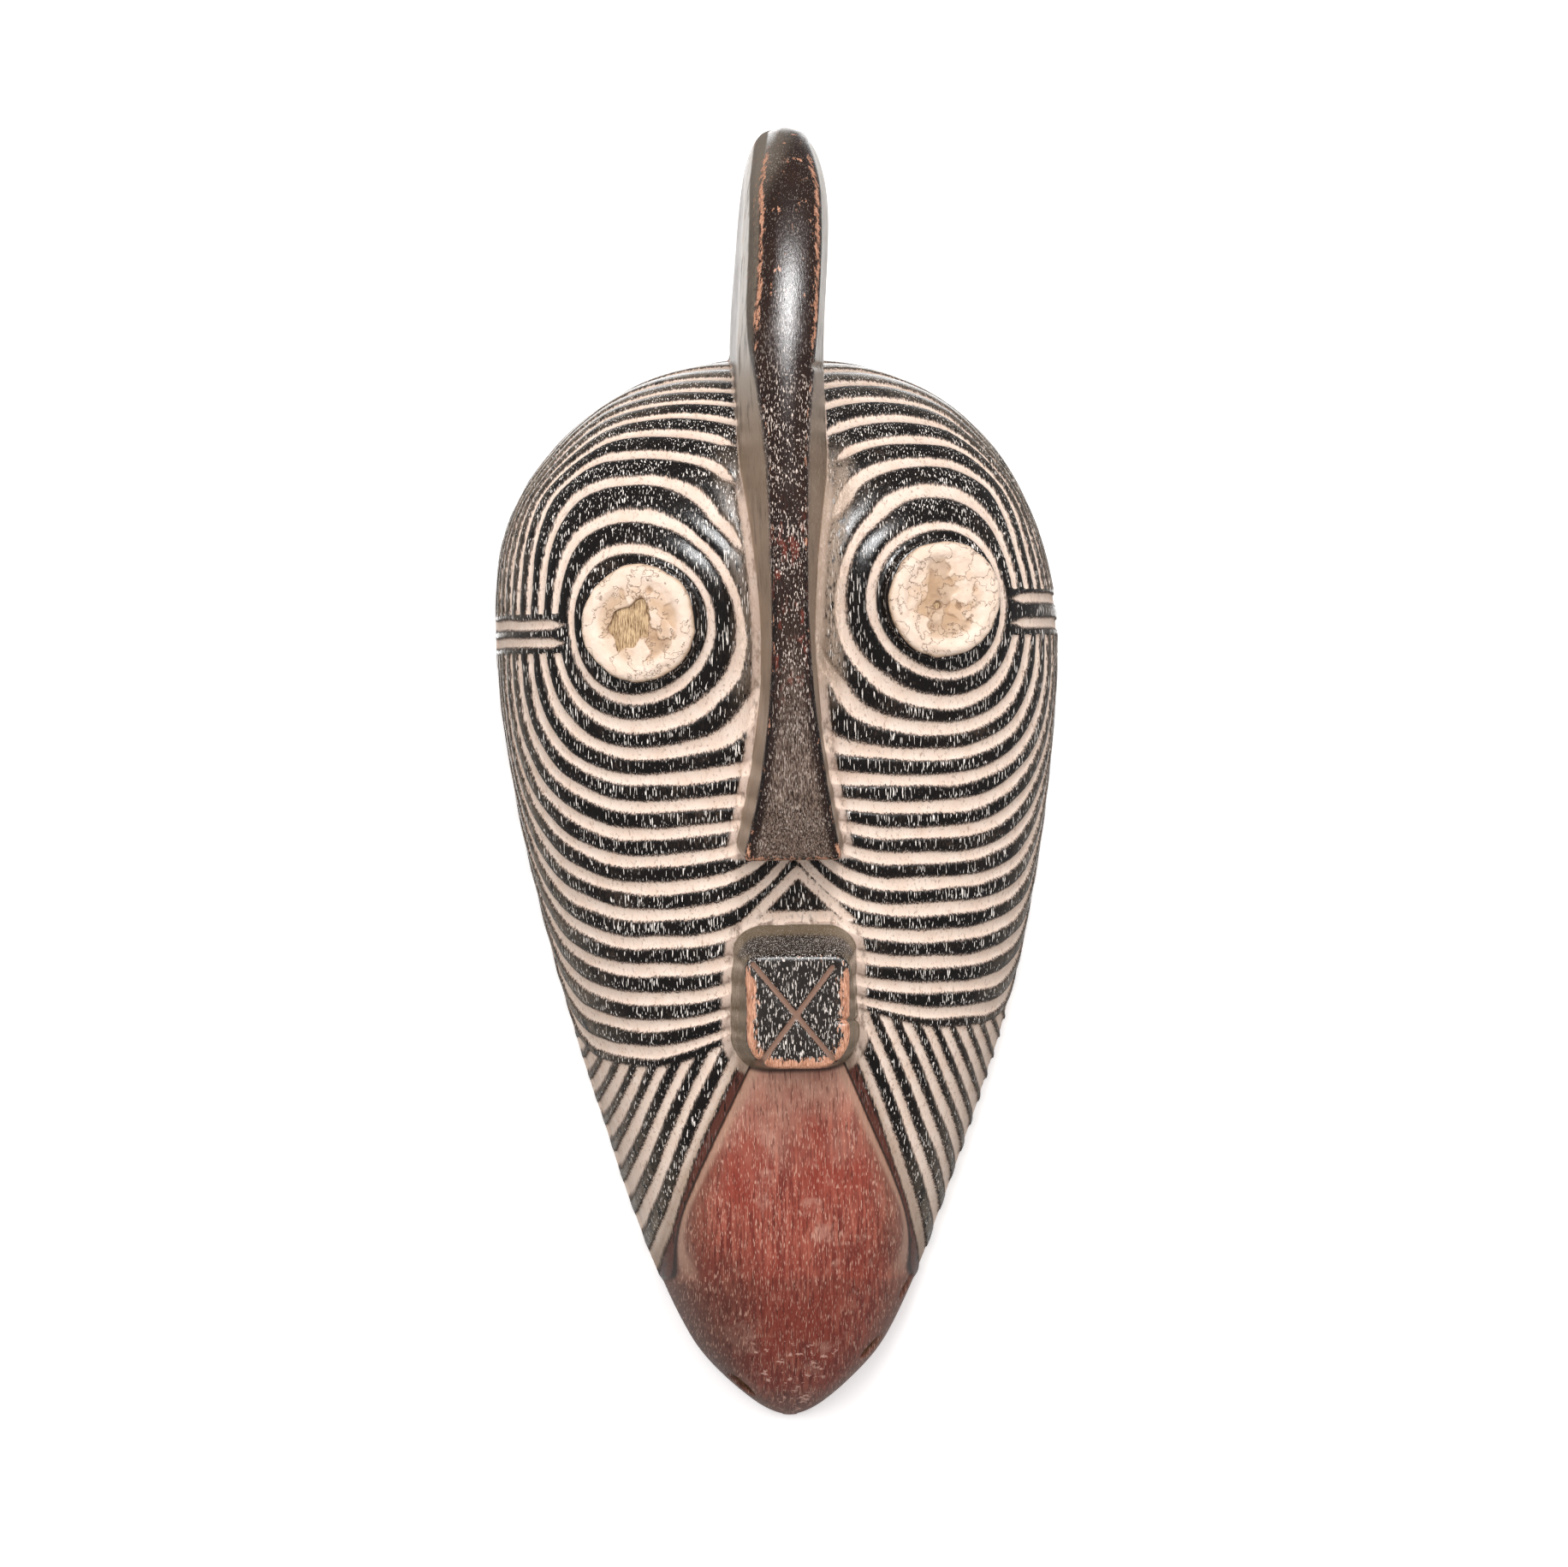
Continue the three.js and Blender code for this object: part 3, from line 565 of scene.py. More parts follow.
def survey(x, y, z):
    """Everything that the mesh and its materials need to know at some points."""
    head_x = x - sway(z)
    plain_head = head(head_x, y, z)
    ridge_away, ridge_arris, ridge_flank = ridge(x, y, z)
    mouth_away, mouth_flank = mouth(x, y, z)
    chin_away = chin(head_x, y, z)
    edge, width = bands(head_x, y, z)
    beside_brow = smoothstep(z, 270, 284) * smoothstep(-z, -348, -334)
    edge = edge + 2.7 * smoothstep(-ridge_away, -7.5, -1.5) * beside_brow
    eye_away, boss = eye_surroundings(x, y, z)

    scoop = np.sqrt(np.clip(1 - np.clip(1 + edge / width, 0, 1) ** 2, 0, 1))
    on_face = smoothstep(eye_away, EYE_RADIUS + 1, EYE_RADIUS + 2.5) * smoothstep(-y, 0.5, 3)
    relief = (GOUGE_DEPTH * scoop - 0.3 * np.clip(edge / 2.5, 0, 1)) * on_face
    crevice = np.minimum(ridge_away, mouth_away)
    beside_ridge = smoothstep(-z, -338, -325) * smoothstep(z, 192, 200)
    channel = 0.9 * np.exp(-(((ridge_away - 2.2) / 1.5) ** 2)) * beside_ridge
    hand = 0.35 * noise(x, y, z, 26, 12) + 0.12 * noise(x, y, z, 9, 13)
    carved_head = plain_head + relief + channel + hand

    outer = soft_min(carved_head, chin_away + 0.3 * hand, 1.2)
    outer = soft_min(outer, ridge_away + 0.5 * hand, 1.5)
    outer = soft_min(outer, mouth_away, 0.8)
    outer = np.minimum(outer, boss)
    solid = soft_max(outer, -hollow(x, y, z), 2.0)
    solid = soft_max(solid, y + 0.25 * noise(x, y, z, 7, 14), 1.2)
    on_mouth = mouth_away < ridge_away
    return {
        "solid": bored(solid, x, y, z),
        "band": edge,
        "chin": plain_head - chin_away,
        "ridge": plain_head - ridge_away,
        "mouth": np.minimum(plain_head, chin_away) - mouth_away,
        "crevice": crevice,
        "arris": np.where(on_mouth, np.abs(mouth_flank), ridge_arris),
        "flank": np.where(on_mouth, mouth_flank, ridge_flank),
        "depth_in": -outer,
        "eye": eye_away,
        "cross": mouth_cross(x, z),
    }


def carving_distance(x, y, z):
    return survey(x, y, z)["solid"]


# Meshes ------------------------------------------------------

def shell_points(distance, low, high, step, margin):
    """A grid of the distance, worked out in full only near the surface."""
    counts = [int(math.ceil((b - a) / step)) + 1 for a, b in zip(low, high)]
    counts = [n + (-n) % 4 for n in counts]
    axes = [a + step * np.arange(n) for a, n in zip(low, counts)]
    coarse = np.meshgrid(*(axis[::4] + 1.5 * step for axis in axes), indexing="ij")
    far = distance(*(c.ravel() for c in coarse)).reshape(coarse[0].shape)
    for k in range(3):
        far = np.repeat(far, 4, axis=k)
    near = np.argwhere(np.abs(far) < margin + 3.6 * step)
    grid = np.clip(far, -3, 3).astype(np.float32)
    for part in np.array_split(near, max(1, len(near) // 1_500_000)):
        i, j, k = part.T
        grid[i, j, k] = distance(axes[0][i], axes[1][j], axes[2][k])
    return np.clip(grid, -3, 3)


def settle(distance, points, step, rounds=2):
    """Moves the points onto the surface."""
    for _ in range(rounds):
        x, y, z = points.T
        here = distance(x, y, z)
        reach = 0.25
        slope = np.stack(
            [
                distance(x + reach, y, z) - here,
                distance(x, y + reach, z) - here,
                distance(x, y, z + reach) - here,
            ],
            axis=1,
        ) / reach
        steep = np.maximum((slope**2).sum(axis=1, keepdims=True), 0.3)
        points = points - np.clip(here[:, None] * slope / steep, -0.45 * step, 0.45 * step)
    return points


def skin(distance, low, high, step, margin=3.0):
    """The surface of a distance field, as points in millimetres and quads."""
    grid = openvdb.FloatGrid(background=3.0)
    grid.copyFromArray(shell_points(distance, low, high, step, margin), tolerance=0.0)
    points, quads = grid.convertToQuads(isovalue=0)
    points = np.asarray(points, dtype=float) * step + np.array(low)
    return settle(distance, points, step), np.asarray(quads)


def in_frame(points):
    return RIM_CENTRE + np.asarray(points) * MM


def new_mesh(name, points, faces):
    mesh = bpy.data.meshes.new(name)
    mesh.from_pydata(in_frame(points), [], [list(map(int, face)) for face in faces])
    mesh.polygons.foreach_set("use_smooth", np.ones(len(mesh.polygons), dtype=bool))
    piece = bpy.data.objects.new(name, mesh)
    bpy.context.scene.collection.objects.link(piece)
    return piece


def store(piece, name, values):
    attribute = piece.data.attributes.new(name, "FLOAT", "POINT")
    attribute.data.foreach_set("value", np.asarray(values, dtype=np.float32))


def outward(points, faces):
    """Turns the faces round if they face inwards."""
    a, b, c = (points[faces[:, k]] for k in range(3))
    volume = np.einsum("ij,ij->i", a, np.cross(b, c)).sum()
    return faces if volume > 0 else faces[:, ::-1]


def make_carving():
    points, faces = skin(carving_distance, (-103, -121, -3), (103, 4, 454), VOXEL)
    piece = new_mesh("carved_wood", points, outward(points, faces))
    x, y, z = points.T
    for name, values in survey(x, y, z).items():
        if name != "solid":
            store(piece, name, np.clip(values, -20, 60))
    for name, values in (("across", x), ("behind", y), ("height", z)):
        store(piece, name, values)
    store(piece, "chin_share", np.abs(x - sway(z)) / chin_half(np.maximum(z, 3)))
    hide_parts("mask_carving")
    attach(piece, "mask")
    return piece


# Pits in each crust: right, up and radius from the eye's axis
PITS = {
    "left": ((4.2, 11.3, 1.3),),
    "right": ((-4.5, 9.2, 1.1), (5.2, -2.6, 1.4), (-2.5, -2.2, 2.0), (0.5, -9.5, 1.0)),
}


def crust_distance(side):
    """A lumpy, dished disc of dried clay on one eye's boss."""
    seed = 20 if side == "left" else 30

    def distance(x, y, z):
        across, up, out = in_eye_axes(side, x, y, z)
        around = np.hypot(across, up)
        bearing_x, bearing_y = across / np.maximum(around, 1), up / np.maximum(around, 1)
        outline = EYE_RADIUS - 0.5 + 0.9 * noise(bearing_x, bearing_y, 0 * x, 0.6, seed)
        outline = outline + 0.45 * noise(x, y, z, 4, seed + 3)
        share = around / outline
        lip = 0.83 + 0.06 * noise(bearing_x, bearing_y, 0 * x, 0.8, seed + 4)
        raised = np.exp(-(((share - lip) / 0.12) ** 2)) * (0.8 + 0.4 * noise(x, y, z, 12, seed + 5))
        broken = noise(x, y, z, 7, seed + 7) + 0.3 * noise(x, y, z, 2.5, seed + 8)
        floor = 0.75 * smoothstep(broken, -0.08, 0.1) * smoothstep(-share, -0.78, -0.62)
        height = 1.75 + 1.15 * raised + 0.25 * noise(x, y, z, 6, seed + 1) - floor
        height = height + 0.2 * noise(x, y, z, 2.6, seed + 2) + 0.12 * noise(x, y, z, 1.2, seed + 6)
        top = out - EYE_BOSS_PROUD - np.clip(height, 0.5, 2.9)
        body = soft_max(soft_max(top, around - outline, 2.0), EYE_BOSS_PROUD + 0.02 - out, 0.3)
        if side == "left":
            hole = np.hypot((across + 2.5) / 1.2, (up + 1.2) / 1.15) - WORN_HOLE_RADIUS
            body = soft_max(body, 3.4 * noise(x, y, z, 4, 41) - hole, 0.9)
        for right, high, radius in PITS[side]:
            deep = out - EYE_BOSS_PROUD - 2.0
            pit = np.sqrt((across - right) ** 2 + (up - high) ** 2 + deep**2) - radius
            body = soft_max(body, -pit, 0.5)
        return body

    return distance


def make_crust(side):
    centre = eye_axes(side)[0]
    low, high = centre - np.array([25, 12, 25]), centre + np.array([25, 12, 25])
    distance = crust_distance(side)
    points, faces = skin(distance, low, high, 0.42, 1.5)
    piece = new_mesh(f"{side}_eye_crust", points, outward(points, faces))
    across, up, out = in_eye_axes(side, *points.T)
    store(piece, "around", np.hypot(across, up))
    store(piece, "proud", out - EYE_BOSS_PROUD)
    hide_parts(f"{side}_eye_clay")
    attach(piece, "mask")
    return piece


# Materials ---------------------------------------------------

def linear(colour):
    """A colour written as #rrggbb, in linear light."""
    parts = [int(colour[k : k + 2], 16) / 255 for k in (1, 3, 5)]
    light = (p / 12.92 if p <= 0.04045 else ((p + 0.055) / 1.055) ** 2.4 for p in parts)
    return (*light, 1.0)


class Paint:
    """Builds one material's nodes. Values are sockets or plain numbers."""

    def __init__(self, name):
        self.material = bpy.data.materials.new(name)
        self.material.use_nodes = True
        self.tree = self.material.node_tree
        self.shader = self.tree.nodes["Principled BSDF"]
        place = self.tree.nodes.new("ShaderNodeTexCoord").outputs["Object"]
        self.place = self.vector("SCALE", place, scale=1000)

    def put(self, socket, value):
        if isinstance(value, bpy.types.NodeSocket):
            self.tree.links.new(value, socket)
        else:
            socket.default_value = value

    def vector(self, operation, a, b=None, scale=None):
        node = self.tree.nodes.new("ShaderNodeVectorMath")
        node.operation = operation
        self.put(node.inputs[0], a)
        if b is not None:
            self.put(node.inputs[1], b)
        if scale is not None:
            self.put(node.inputs["Scale"], scale)
        return node.outputs[0]

    def math(self, operation, a, b=0.0, c=0.0):
        node = self.tree.nodes.new("ShaderNodeMath")
        node.operation = operation
        for socket, value in zip(node.inputs, (a, b, c)):
            self.put(socket, value)
        return node.outputs[0]

    def fact(self, name):
        node = self.tree.nodes.new("ShaderNodeAttribute")
        node.attribute_name = name
        return node.outputs["Fac"]

    def ramp(self, value, low, high, start=0.0, end=1.0):
        node = self.tree.nodes.new("ShaderNodeMapRange")
        node.interpolation_type = "SMOOTHSTEP"
        self.put(node.inputs["Value"], value)
        reverse = isinstance(low, (int, float)) and isinstance(high, (int, float)) and low > high
        if reverse:
            low, high, start, end = high, low, end, start
        ends = {"From Min": low, "From Max": high, "To Min": start, "To Max": end}
        for socket, number in ends.items():
            self.put(node.inputs[socket], number)
        return node.outputs["Result"]

    def noise(self, size, detail=2.0, roughness=0.5):
        """Noise from 0 to 1 with blobs of `size` millimetres, or of three sizes."""
        size = (size,) * 3 if isinstance(size, (int, float)) else size
        node = self.tree.nodes.new("ShaderNodeTexNoise")
        place = self.vector("MULTIPLY", self.place, tuple(1 / s for s in size))
        self.put(node.inputs["Vector"], place)
        node.inputs["Scale"].default_value = 1.0
        node.inputs["Detail"].default_value = detail
        node.inputs["Roughness"].default_value = roughness
        return node.outputs["Fac"]

    def blend(self, share, a, b, mode="MIX"):
        node = self.tree.nodes.new("ShaderNodeMix")
        node.data_type = "RGBA"
        node.blend_type = mode
        self.put(node.inputs["Factor"], share)
        self.put(node.inputs["A"], linear(a) if isinstance(a, str) else a)
        self.put(node.inputs["B"], linear(b) if isinstance(b, str) else b)
        return node.outputs["Result"]

    def either(self, *shares):
        total = shares[0]
        for share in shares[1:]:
            total = self.math("MAXIMUM", total, share)
        return total

    def both(self, *shares):
        total = shares[0]
        for share in shares[1:]:
            total = self.math("MULTIPLY", total, share)
        return total

    def flip(self, share):
        return self.math("SUBTRACT", 1.0, share)

    def finish(self, colour, roughness, height=None, relief=0.3, **extra):
        self.put(self.shader.inputs["Base Color"], colour)
        self.put(self.shader.inputs["Roughness"], roughness)
        for name, value in extra.items():
            self.put(self.shader.inputs[name.replace("_", " ")], value)
        if height is not None:
            bump = self.tree.nodes.new("ShaderNodeBump")
            bump.inputs["Strength"].default_value = 1.0
            bump.inputs["Distance"].default_value = relief * MM
            self.put(bump.inputs["Height"], height)
            self.put(self.shader.inputs["Normal"], bump.outputs["Normal"])
        return self.material


def wood_patterns(p):
    """The noises and shape facts that more than one stain of the wood uses."""
    patches = p.noise(10, 2)

    def pores(size, low, high):
        return p.ramp(p.math("MULTIPLY_ADD", patches, 0.25, p.noise(size, 1, 0.4)), low, high)

    ragged = p.math("SUBTRACT", p.noise((0.6, 0.6, 2.8), 3, 0.65), 0.5)
    fine_grain = p.noise((0.35, 0.35, 3), 3, 0.7)
    return SimpleNamespace(
        ragged=ragged,
        broad=p.noise(14, 3),
        grain=p.noise((0.5, 0.5, 9), 3, 0.65),
        fine_grain=fine_grain,
        flecks=pores((0.34, 0.9, 4.6), 0.765, 0.79),
        dots=pores((0.3, 0.6, 1.4), 0.755, 0.78),
        dark_streaks=p.ramp(p.noise((0.6, 6, 6), 2, 0.5), 0.43, 0.35),
        raw=p.blend(p.ramp(fine_grain, 0.3, 0.7), "#8f5a40", "#e0a98c"),
        crevice=p.math("MULTIPLY_ADD", ragged, 2.6, p.fact("crevice")),
        height=p.fact("height"),
        across=p.fact("across"),
        flank=p.fact("flank"),
        arris=p.fact("arris"),
        chin=p.fact("chin"),
    )


def black_stain(p, w):
    """The bands between the gouges: black with pale pores, paler towards the rim with dust and
    painted sheen.
    """
    black = p.blend(w.broad, "#060403", "#140d0b")
    black = p.blend(w.flecks, black, "#f6ece4")
    # Patches of dust on the black.
    pale_cover = p.ramp(p.math("ADD", w.ragged, p.noise(22, 3)), 0.55, 0.85)
    black = p.blend(p.both(pale_cover, 0.2), black, "#7d6656")
    # Paler grey-brown towards the rim: dust, and painted sheen for the bright room seen at a
    # grazing angle there.
    near_rim = p.ramp(p.fact("behind"), -60, -15)
    rim_dust_and_sheen = p.both(near_rim, p.ramp(p.noise((3, 3, 9), 4, 0.65), 0.32, 0.56))
    black = p.blend(p.both(rim_dust_and_sheen, 0.7), black, "#9a8977")
    up_the_chin = p.both(p.ramp(w.height, 47, 50), p.ramp(w.height, 150, 140))
    beside_chin = p.both(p.ramp(w.chin, -3.4, -1.8), up_the_chin, 0.9)
    return p.blend(beside_chin, black, p.blend(w.dark_streaks, "#5e342a", "#24140f"))


def rubbed_clay(p, w, channel):
    clay = p.blend(p.noise(6, 3), "#dcbfaa", "#f5e4d7")
    specks = p.ramp(p.noise((1.1, 1.1, 2.0), 4, 0.75), 0.53, 0.68)
    clay = p.blend(p.both(specks, 0.75), clay, "#a28370")
    # Clay darker towards each gouge's edge: painted shadow of the gouge's wall.
    clay = p.blend(p.both(p.ramp(p.fact("band"), -1.0, 0.1), 0.45), clay, "#86685a")
    beside_chin = p.both(p.ramp(w.chin, -6.5, -4), p.ramp(w.height, 150, 130))
    clay = p.blend(p.both(beside_chin, 0.6), clay, "#8f7561")
    dirt = p.ramp(p.noise((3, 3, 7), 4, 0.65), 0.5, 0.66)
    return p.blend(p.both(channel, dirt, 0.7), clay, "#6d5646")


def face_colour(p, w):
    """Black bands and clay gouges, with painted shade along the gouges' edges, and how much of each
    point is covered by clay, dirt and that painted shade.
    """
    edge = p.math("MULTIPLY_ADD", w.ragged, 3.6, p.fact("band"))
    in_gouge = p.ramp(edge, 0.15, -0.15)
    # A dark line along each gouge's edge: painted shadow of the gouge's wall.
    groove_edge_shade = p.ramp(p.math("ABSOLUTE", edge), 0.55, 0.2)
    on_face = p.ramp(p.fact("eye"), 22.6, 23.2)
    beside_nose = p.either(p.ramp(w.height, 330, 316), p.ramp(w.crevice, 1.2, 0.6))
    channel = p.both(p.ramp(w.crevice, 3.9, 2.6), beside_nose)
    clay_here = p.either(p.both(in_gouge, on_face), channel)
    face = p.blend(clay_here, black_stain(p, w), rubbed_clay(p, w, channel))
    face = p.blend(p.both(groove_edge_shade, on_face, p.flip(channel), 0.75), face, "#1b120d")

    brow = p.both(p.ramp(w.crevice, 12, 6), p.ramp(w.height, 244, 260), p.ramp(w.height, 344, 324))
    streaks = p.ramp(p.noise((2, 2, 5), 4, 0.7), 0.34, 0.5)
    smear = p.both(brow, p.ramp(w.across, -4, 4, 0.35, 0.85), streaks)
    face = p.blend(p.both(smear, p.ramp(w.fine_grain, 0.66, 0.5)), face, "#a58f7c")
    return face, p.either(clay_here, groove_edge_shade, smear)


# The crest's pale grey flanks: dust, and painted sheen for the bright room reflected at a grazing
# angle; paler higher up, darker further back.
def flank_dust_and_sheen_colour(p, w):
    dust_and_sheen = p.blend(p.ramp(w.height, 330, 395), "#8d7763", "#d8cec3")
    dust_and_sheen = p.blend(p.both(p.ramp(w.flank, 28, 55), 0.75), dust_and_sheen, "#5b4b3f")
    return p.blend(p.ramp(p.noise((4, 4, 12), 4, 0.6), 0.5, 0.72), dust_and_sheen, "#5c4d41")


def crest_colour(p, w):
    """Brown-black crest and nose, with worn, orange arrises and flanks paled by dust and painted
    sheen.

    Also how far each flank is paled, and where the crest was never polished.
    """
    crest = p.blend(p.noise(17, 3), "#150c09", "#33211a")
    # Grey top of the crest, more to the left: dust, and painted sheen where the top faces up to the
    # bright room.
    top_dust_and_sheen = p.ramp(p.math("MULTIPLY_ADD", w.across, -1.8, w.height), 428, 446)
    crest = p.blend(p.both(top_dust_and_sheen, 0.8), crest, "#6b6156")
    between_eyes = p.both(p.ramp(w.height, 244, 262), p.ramp(w.height, 330, 300))
    rust = p.both(between_eyes, p.ramp(p.noise((3, 3, 8), 4, 0.7), 0.54, 0.64))
    crest = p.blend(p.both(rust, 0.7), crest, "#743528")
    # Paler, greyer lower nose front: painted sheen for the soft reflection there, broken up by the
    # grain.
    nose_front_sheen = p.both(p.ramp(w.height, 290, 215), p.ramp(w.flank, -2.5, -4.5))
    crest = p.blend(p.both(nose_front_sheen, p.ramp(w.fine_grain, 0.4, 0.62), 0.7), crest, "#8f7a6c")
    fewer_high_up = p.ramp(w.height, 374, 352, 0.2, 0.85)
    fewer_low_down = p.ramp(w.height, 235, 285, 0.45, 1.0)
    crest = p.blend(p.both(w.dots, fewer_high_up, fewer_low_down), crest, "#e6d3c7")

    unpolished = p.both(p.ramp(w.height, 355, 392), p.ramp(w.across, 4, -3))
    left_front = p.both(unpolished, p.ramp(w.flank, 0.5, 2.5))
    crest = p.blend(p.both(left_front, p.ramp(w.fine_grain, 0.32, 0.52), 0.75), crest, "#7d7062")
    pale_cover = p.math("MULTIPLY_ADD", w.grain, -5.0, w.flank)
    pale_cover = p.ramp(p.math("MULTIPLY_ADD", unpolished, -11.0, pale_cover), -0.5, 3.0)
    # More of it on the left flank: painted light, as that flank is the brighter lit one.
    flank_dust_and_sheen = p.both(pale_cover, p.ramp(w.across, 4, -4, 0.7, 0.95))
    crest = p.blend(flank_dust_and_sheen, crest, flank_dust_and_sheen_colour(p, w))

    shaded_arris = p.both(p.ramp(w.arris, 1.7, 0.7), p.ramp(w.height, 310, 280))
    crest = p.blend(p.both(shaded_arris, 0.8), crest, "#120c0a")
    spots = p.both(p.ramp(p.noise((2.5, 2.5, 7), 4, 0.7), 0.62, 0.66), p.ramp(w.height, 375, 395))
    steady = p.both(p.ramp(w.height, 197, 204), p.ramp(w.height, 385, 360))
    rubbed = p.math("MULTIPLY_ADD", p.noise((1.8, 1.8, 4.5), 5, 0.75), -12.0, w.arris)
    rubbed = p.math("MULTIPLY_ADD", steady, 1.6, rubbed)
    rubbed = p.math("ADD", rubbed, p.ramp(w.height, 436, 446, 0.0, 3.0))
    crest = p.blend(p.either(p.ramp(rubbed, -4.9, -5.7), spots), crest, w.raw)
    return crest, pale_cover, p.both(left_front, p.flip(pale_cover))


def mouth_colour(p, w):
    """Black front with an X, a worn orange border and olive-brown bevels."""
    lips = p.blend(p.noise(6, 3), "#0e0a08", "#2a211c")
    specks = p.ramp(p.noise((0.34, 0.34, 1.8), 1, 0.4), 0.6, 0.66)
    lips = p.blend(p.both(specks, 0.8), lips, "#efe3da")
    below_top = p.either(p.ramp(w.height, 163, 159), p.ramp(w.flank, 11, 15))
    olive = p.both(p.ramp(w.flank, 0.8, 3), below_top, p.ramp(w.grain, 0.3, 0.7, 0.65, 0.9))
    lips = p.blend(olive, lips, "#75654f")
    rubbed = p.math("MULTIPLY_ADD", p.noise((1.5, 1.5, 4.5), 5, 0.75), -15.0, w.arris)
    rubbed = p.math("ADD", rubbed, p.ramp(w.height, 152, 160, 0.0, 4.0))
    rubbed = p.math("ADD", rubbed, p.ramp(w.flank, 0.3, 1.5, 0.0, 3.0))
    lips = p.blend(p.ramp(rubbed, -4.2, -5.2), lips, w.raw)
    cross = p.math("MULTIPLY_ADD", w.ragged, 0.8, p.fact("cross"))
    return p.blend(p.ramp(cross, 1.1, 0.7), lips, "#846555")


def chin_colour(p, w):
    """Streaky red, darker and browner at the sides, with chips at the tip. A paler top, partly its
    own tone and partly painted light; painted shade under the mouth block, in the crease along the
    chin's edge and low on its left; a painted highlight along its rounded edges.
    """
    red = p.blend(p.ramp(p.noise((1.0, 8, 15), 3, 0.6), 0.38, 0.64), "#77332a", "#a65a49")
    red = p.blend(p.both(p.ramp(p.noise((13, 13, 30), 4), 0.42, 0.62), 0.7), red, "#8c3a2d")
    red = p.blend(p.both(p.ramp(p.noise((16, 16, 16), 4, 0.6), 0.55, 0.66), 0.45), red, "#c79482")
    # Paler, pinker top of the chin: partly its own tone, partly painted light where light falls
    # from above.
    pale_and_lit_top = p.ramp(p.math("MULTIPLY_ADD", w.broad, 60.0, w.height), 115, 160)
    red = p.blend(p.both(pale_and_lit_top, 0.65), red, "#d8a892")
    # Darker and browner towards the chin's sides.
    darker_sides = p.ramp(p.math("MULTIPLY_ADD", w.ragged, 0.5, p.fact("chin_share")), 0.62, 0.95)
    red = p.blend(p.both(darker_sides, 0.7), red, "#7d5a49")
    red = p.blend(p.both(p.ramp(w.height, 12, 4), 0.5), red, "#8a6a5b")
    # Darker low on the chin's left side: painted shade.
    painted_shade_low_left = p.both(p.ramp(w.across, -6, -24), p.ramp(w.height, 64, 40))
    red = p.blend(p.both(painted_shade_low_left, 0.55), red, "#52342a")
    red = p.blend(p.both(w.dark_streaks, 0.55), red, "#4c2018")
    red = p.blend(p.both(p.ramp(p.noise((0.3, 5, 2.2), 1, 0.4), 0.6, 0.68), 0.6), red, "#e0b19c")

    lip = p.math("MULTIPLY_ADD", w.ragged, 1.5, w.chin)
    # A pale line along the chin's rounded upper edges: painted highlight.
    painted_edge_highlight = p.both(p.ramp(lip, 0.8, 2.2), p.ramp(lip, 6.0, 3.4), p.ramp(w.height, 44, 58))
    red = p.blend(p.both(painted_edge_highlight, 0.6), red, "#c89f88")
    # A dark line where the chin meets the cheeks: painted shade in that crease.
    red = p.blend(p.both(p.ramp(lip, 1.7, 0.6), p.ramp(w.height, 47, 50)), red, "#33231c")
    # Dark on the chin close under the mouth block: painted shadow of the block.
    red = p.blend(p.both(p.ramp(p.fact("crevice"), 2.2, 0.6), 0.85), red, "#24150f")
    chips = p.both(p.ramp(p.noise((3.5, 3.5, 2.5), 4, 0.7), 0.58, 0.62), p.ramp(w.height, 30, 22))
    return p.blend(p.both(chips, p.ramp(p.fact("chin_share"), 0.6, 0.4)), red, "#e3b0a0")


def bare_colour(p, w):
    bare = p.blend(p.ramp(w.grain, 0.3, 0.7), "#6d4a33", "#a67c58")
    return p.blend(p.both(p.noise(30, 3), 0.6), bare, "#4c3526")


def wood_material():
    p = Paint("stained_wood")
    w = wood_patterns(p)
    face, matt_on_face = face_colour(p, w)
    crest, pale_cover, unpolished = crest_colour(p, w)

    chin_here = p.ramp(w.chin, -0.3, 0.3)
    crest_here = p.ramp(p.fact("ridge"), -0.2, 0.4)
    mouth_here = p.ramp(p.fact("mouth"), -0.2, 0.4)
    colour = p.blend(chin_here, face, chin_colour(p, w))
    colour = p.blend(crest_here, colour, crest)
    colour = p.blend(mouth_here, colour, mouth_colour(p, w))
    on_boss = p.both(p.ramp(p.fact("eye"), 19.5, 18.5), p.ramp(p.fact("depth_in"), 2, 1))
    boss_wood = p.blend(p.ramp(w.fine_grain, 0.35, 0.6), "#6f5238", "#d3b48d")
    colour = p.blend(on_boss, colour, boss_wood)
    inside = p.ramp(p.fact("depth_in"), 0.9, 1.8)
    colour = p.blend(inside, colour, bare_colour(p, w))

    plain = p.flip(p.either(chin_here, crest_here, mouth_here))
    matt = p.either(p.both(matt_on_face, plain), inside, p.both(pale_cover, crest_here, 0.3))
    roughness = p.math("MULTIPLY_ADD", matt, 0.55, p.ramp(w.broad, 0.2, 0.8, 0.15, 0.23))
    roughness = p.math("MULTIPLY_ADD", chin_here, 0.14, roughness)
    roughness = p.math("MULTIPLY_ADD", p.ramp(w.fine_grain, 0.5, 0.62), 0.12, roughness)
    roughness = p.math("MULTIPLY_ADD", p.both(unpolished, crest_here), 0.7, roughness)
    height = p.math("MULTIPLY_ADD", matt, w.ragged, p.math("MULTIPLY", w.grain, 0.3))
    return p.finish(colour, roughness, height, 0.25, Specular_IOR_Level=0.42)


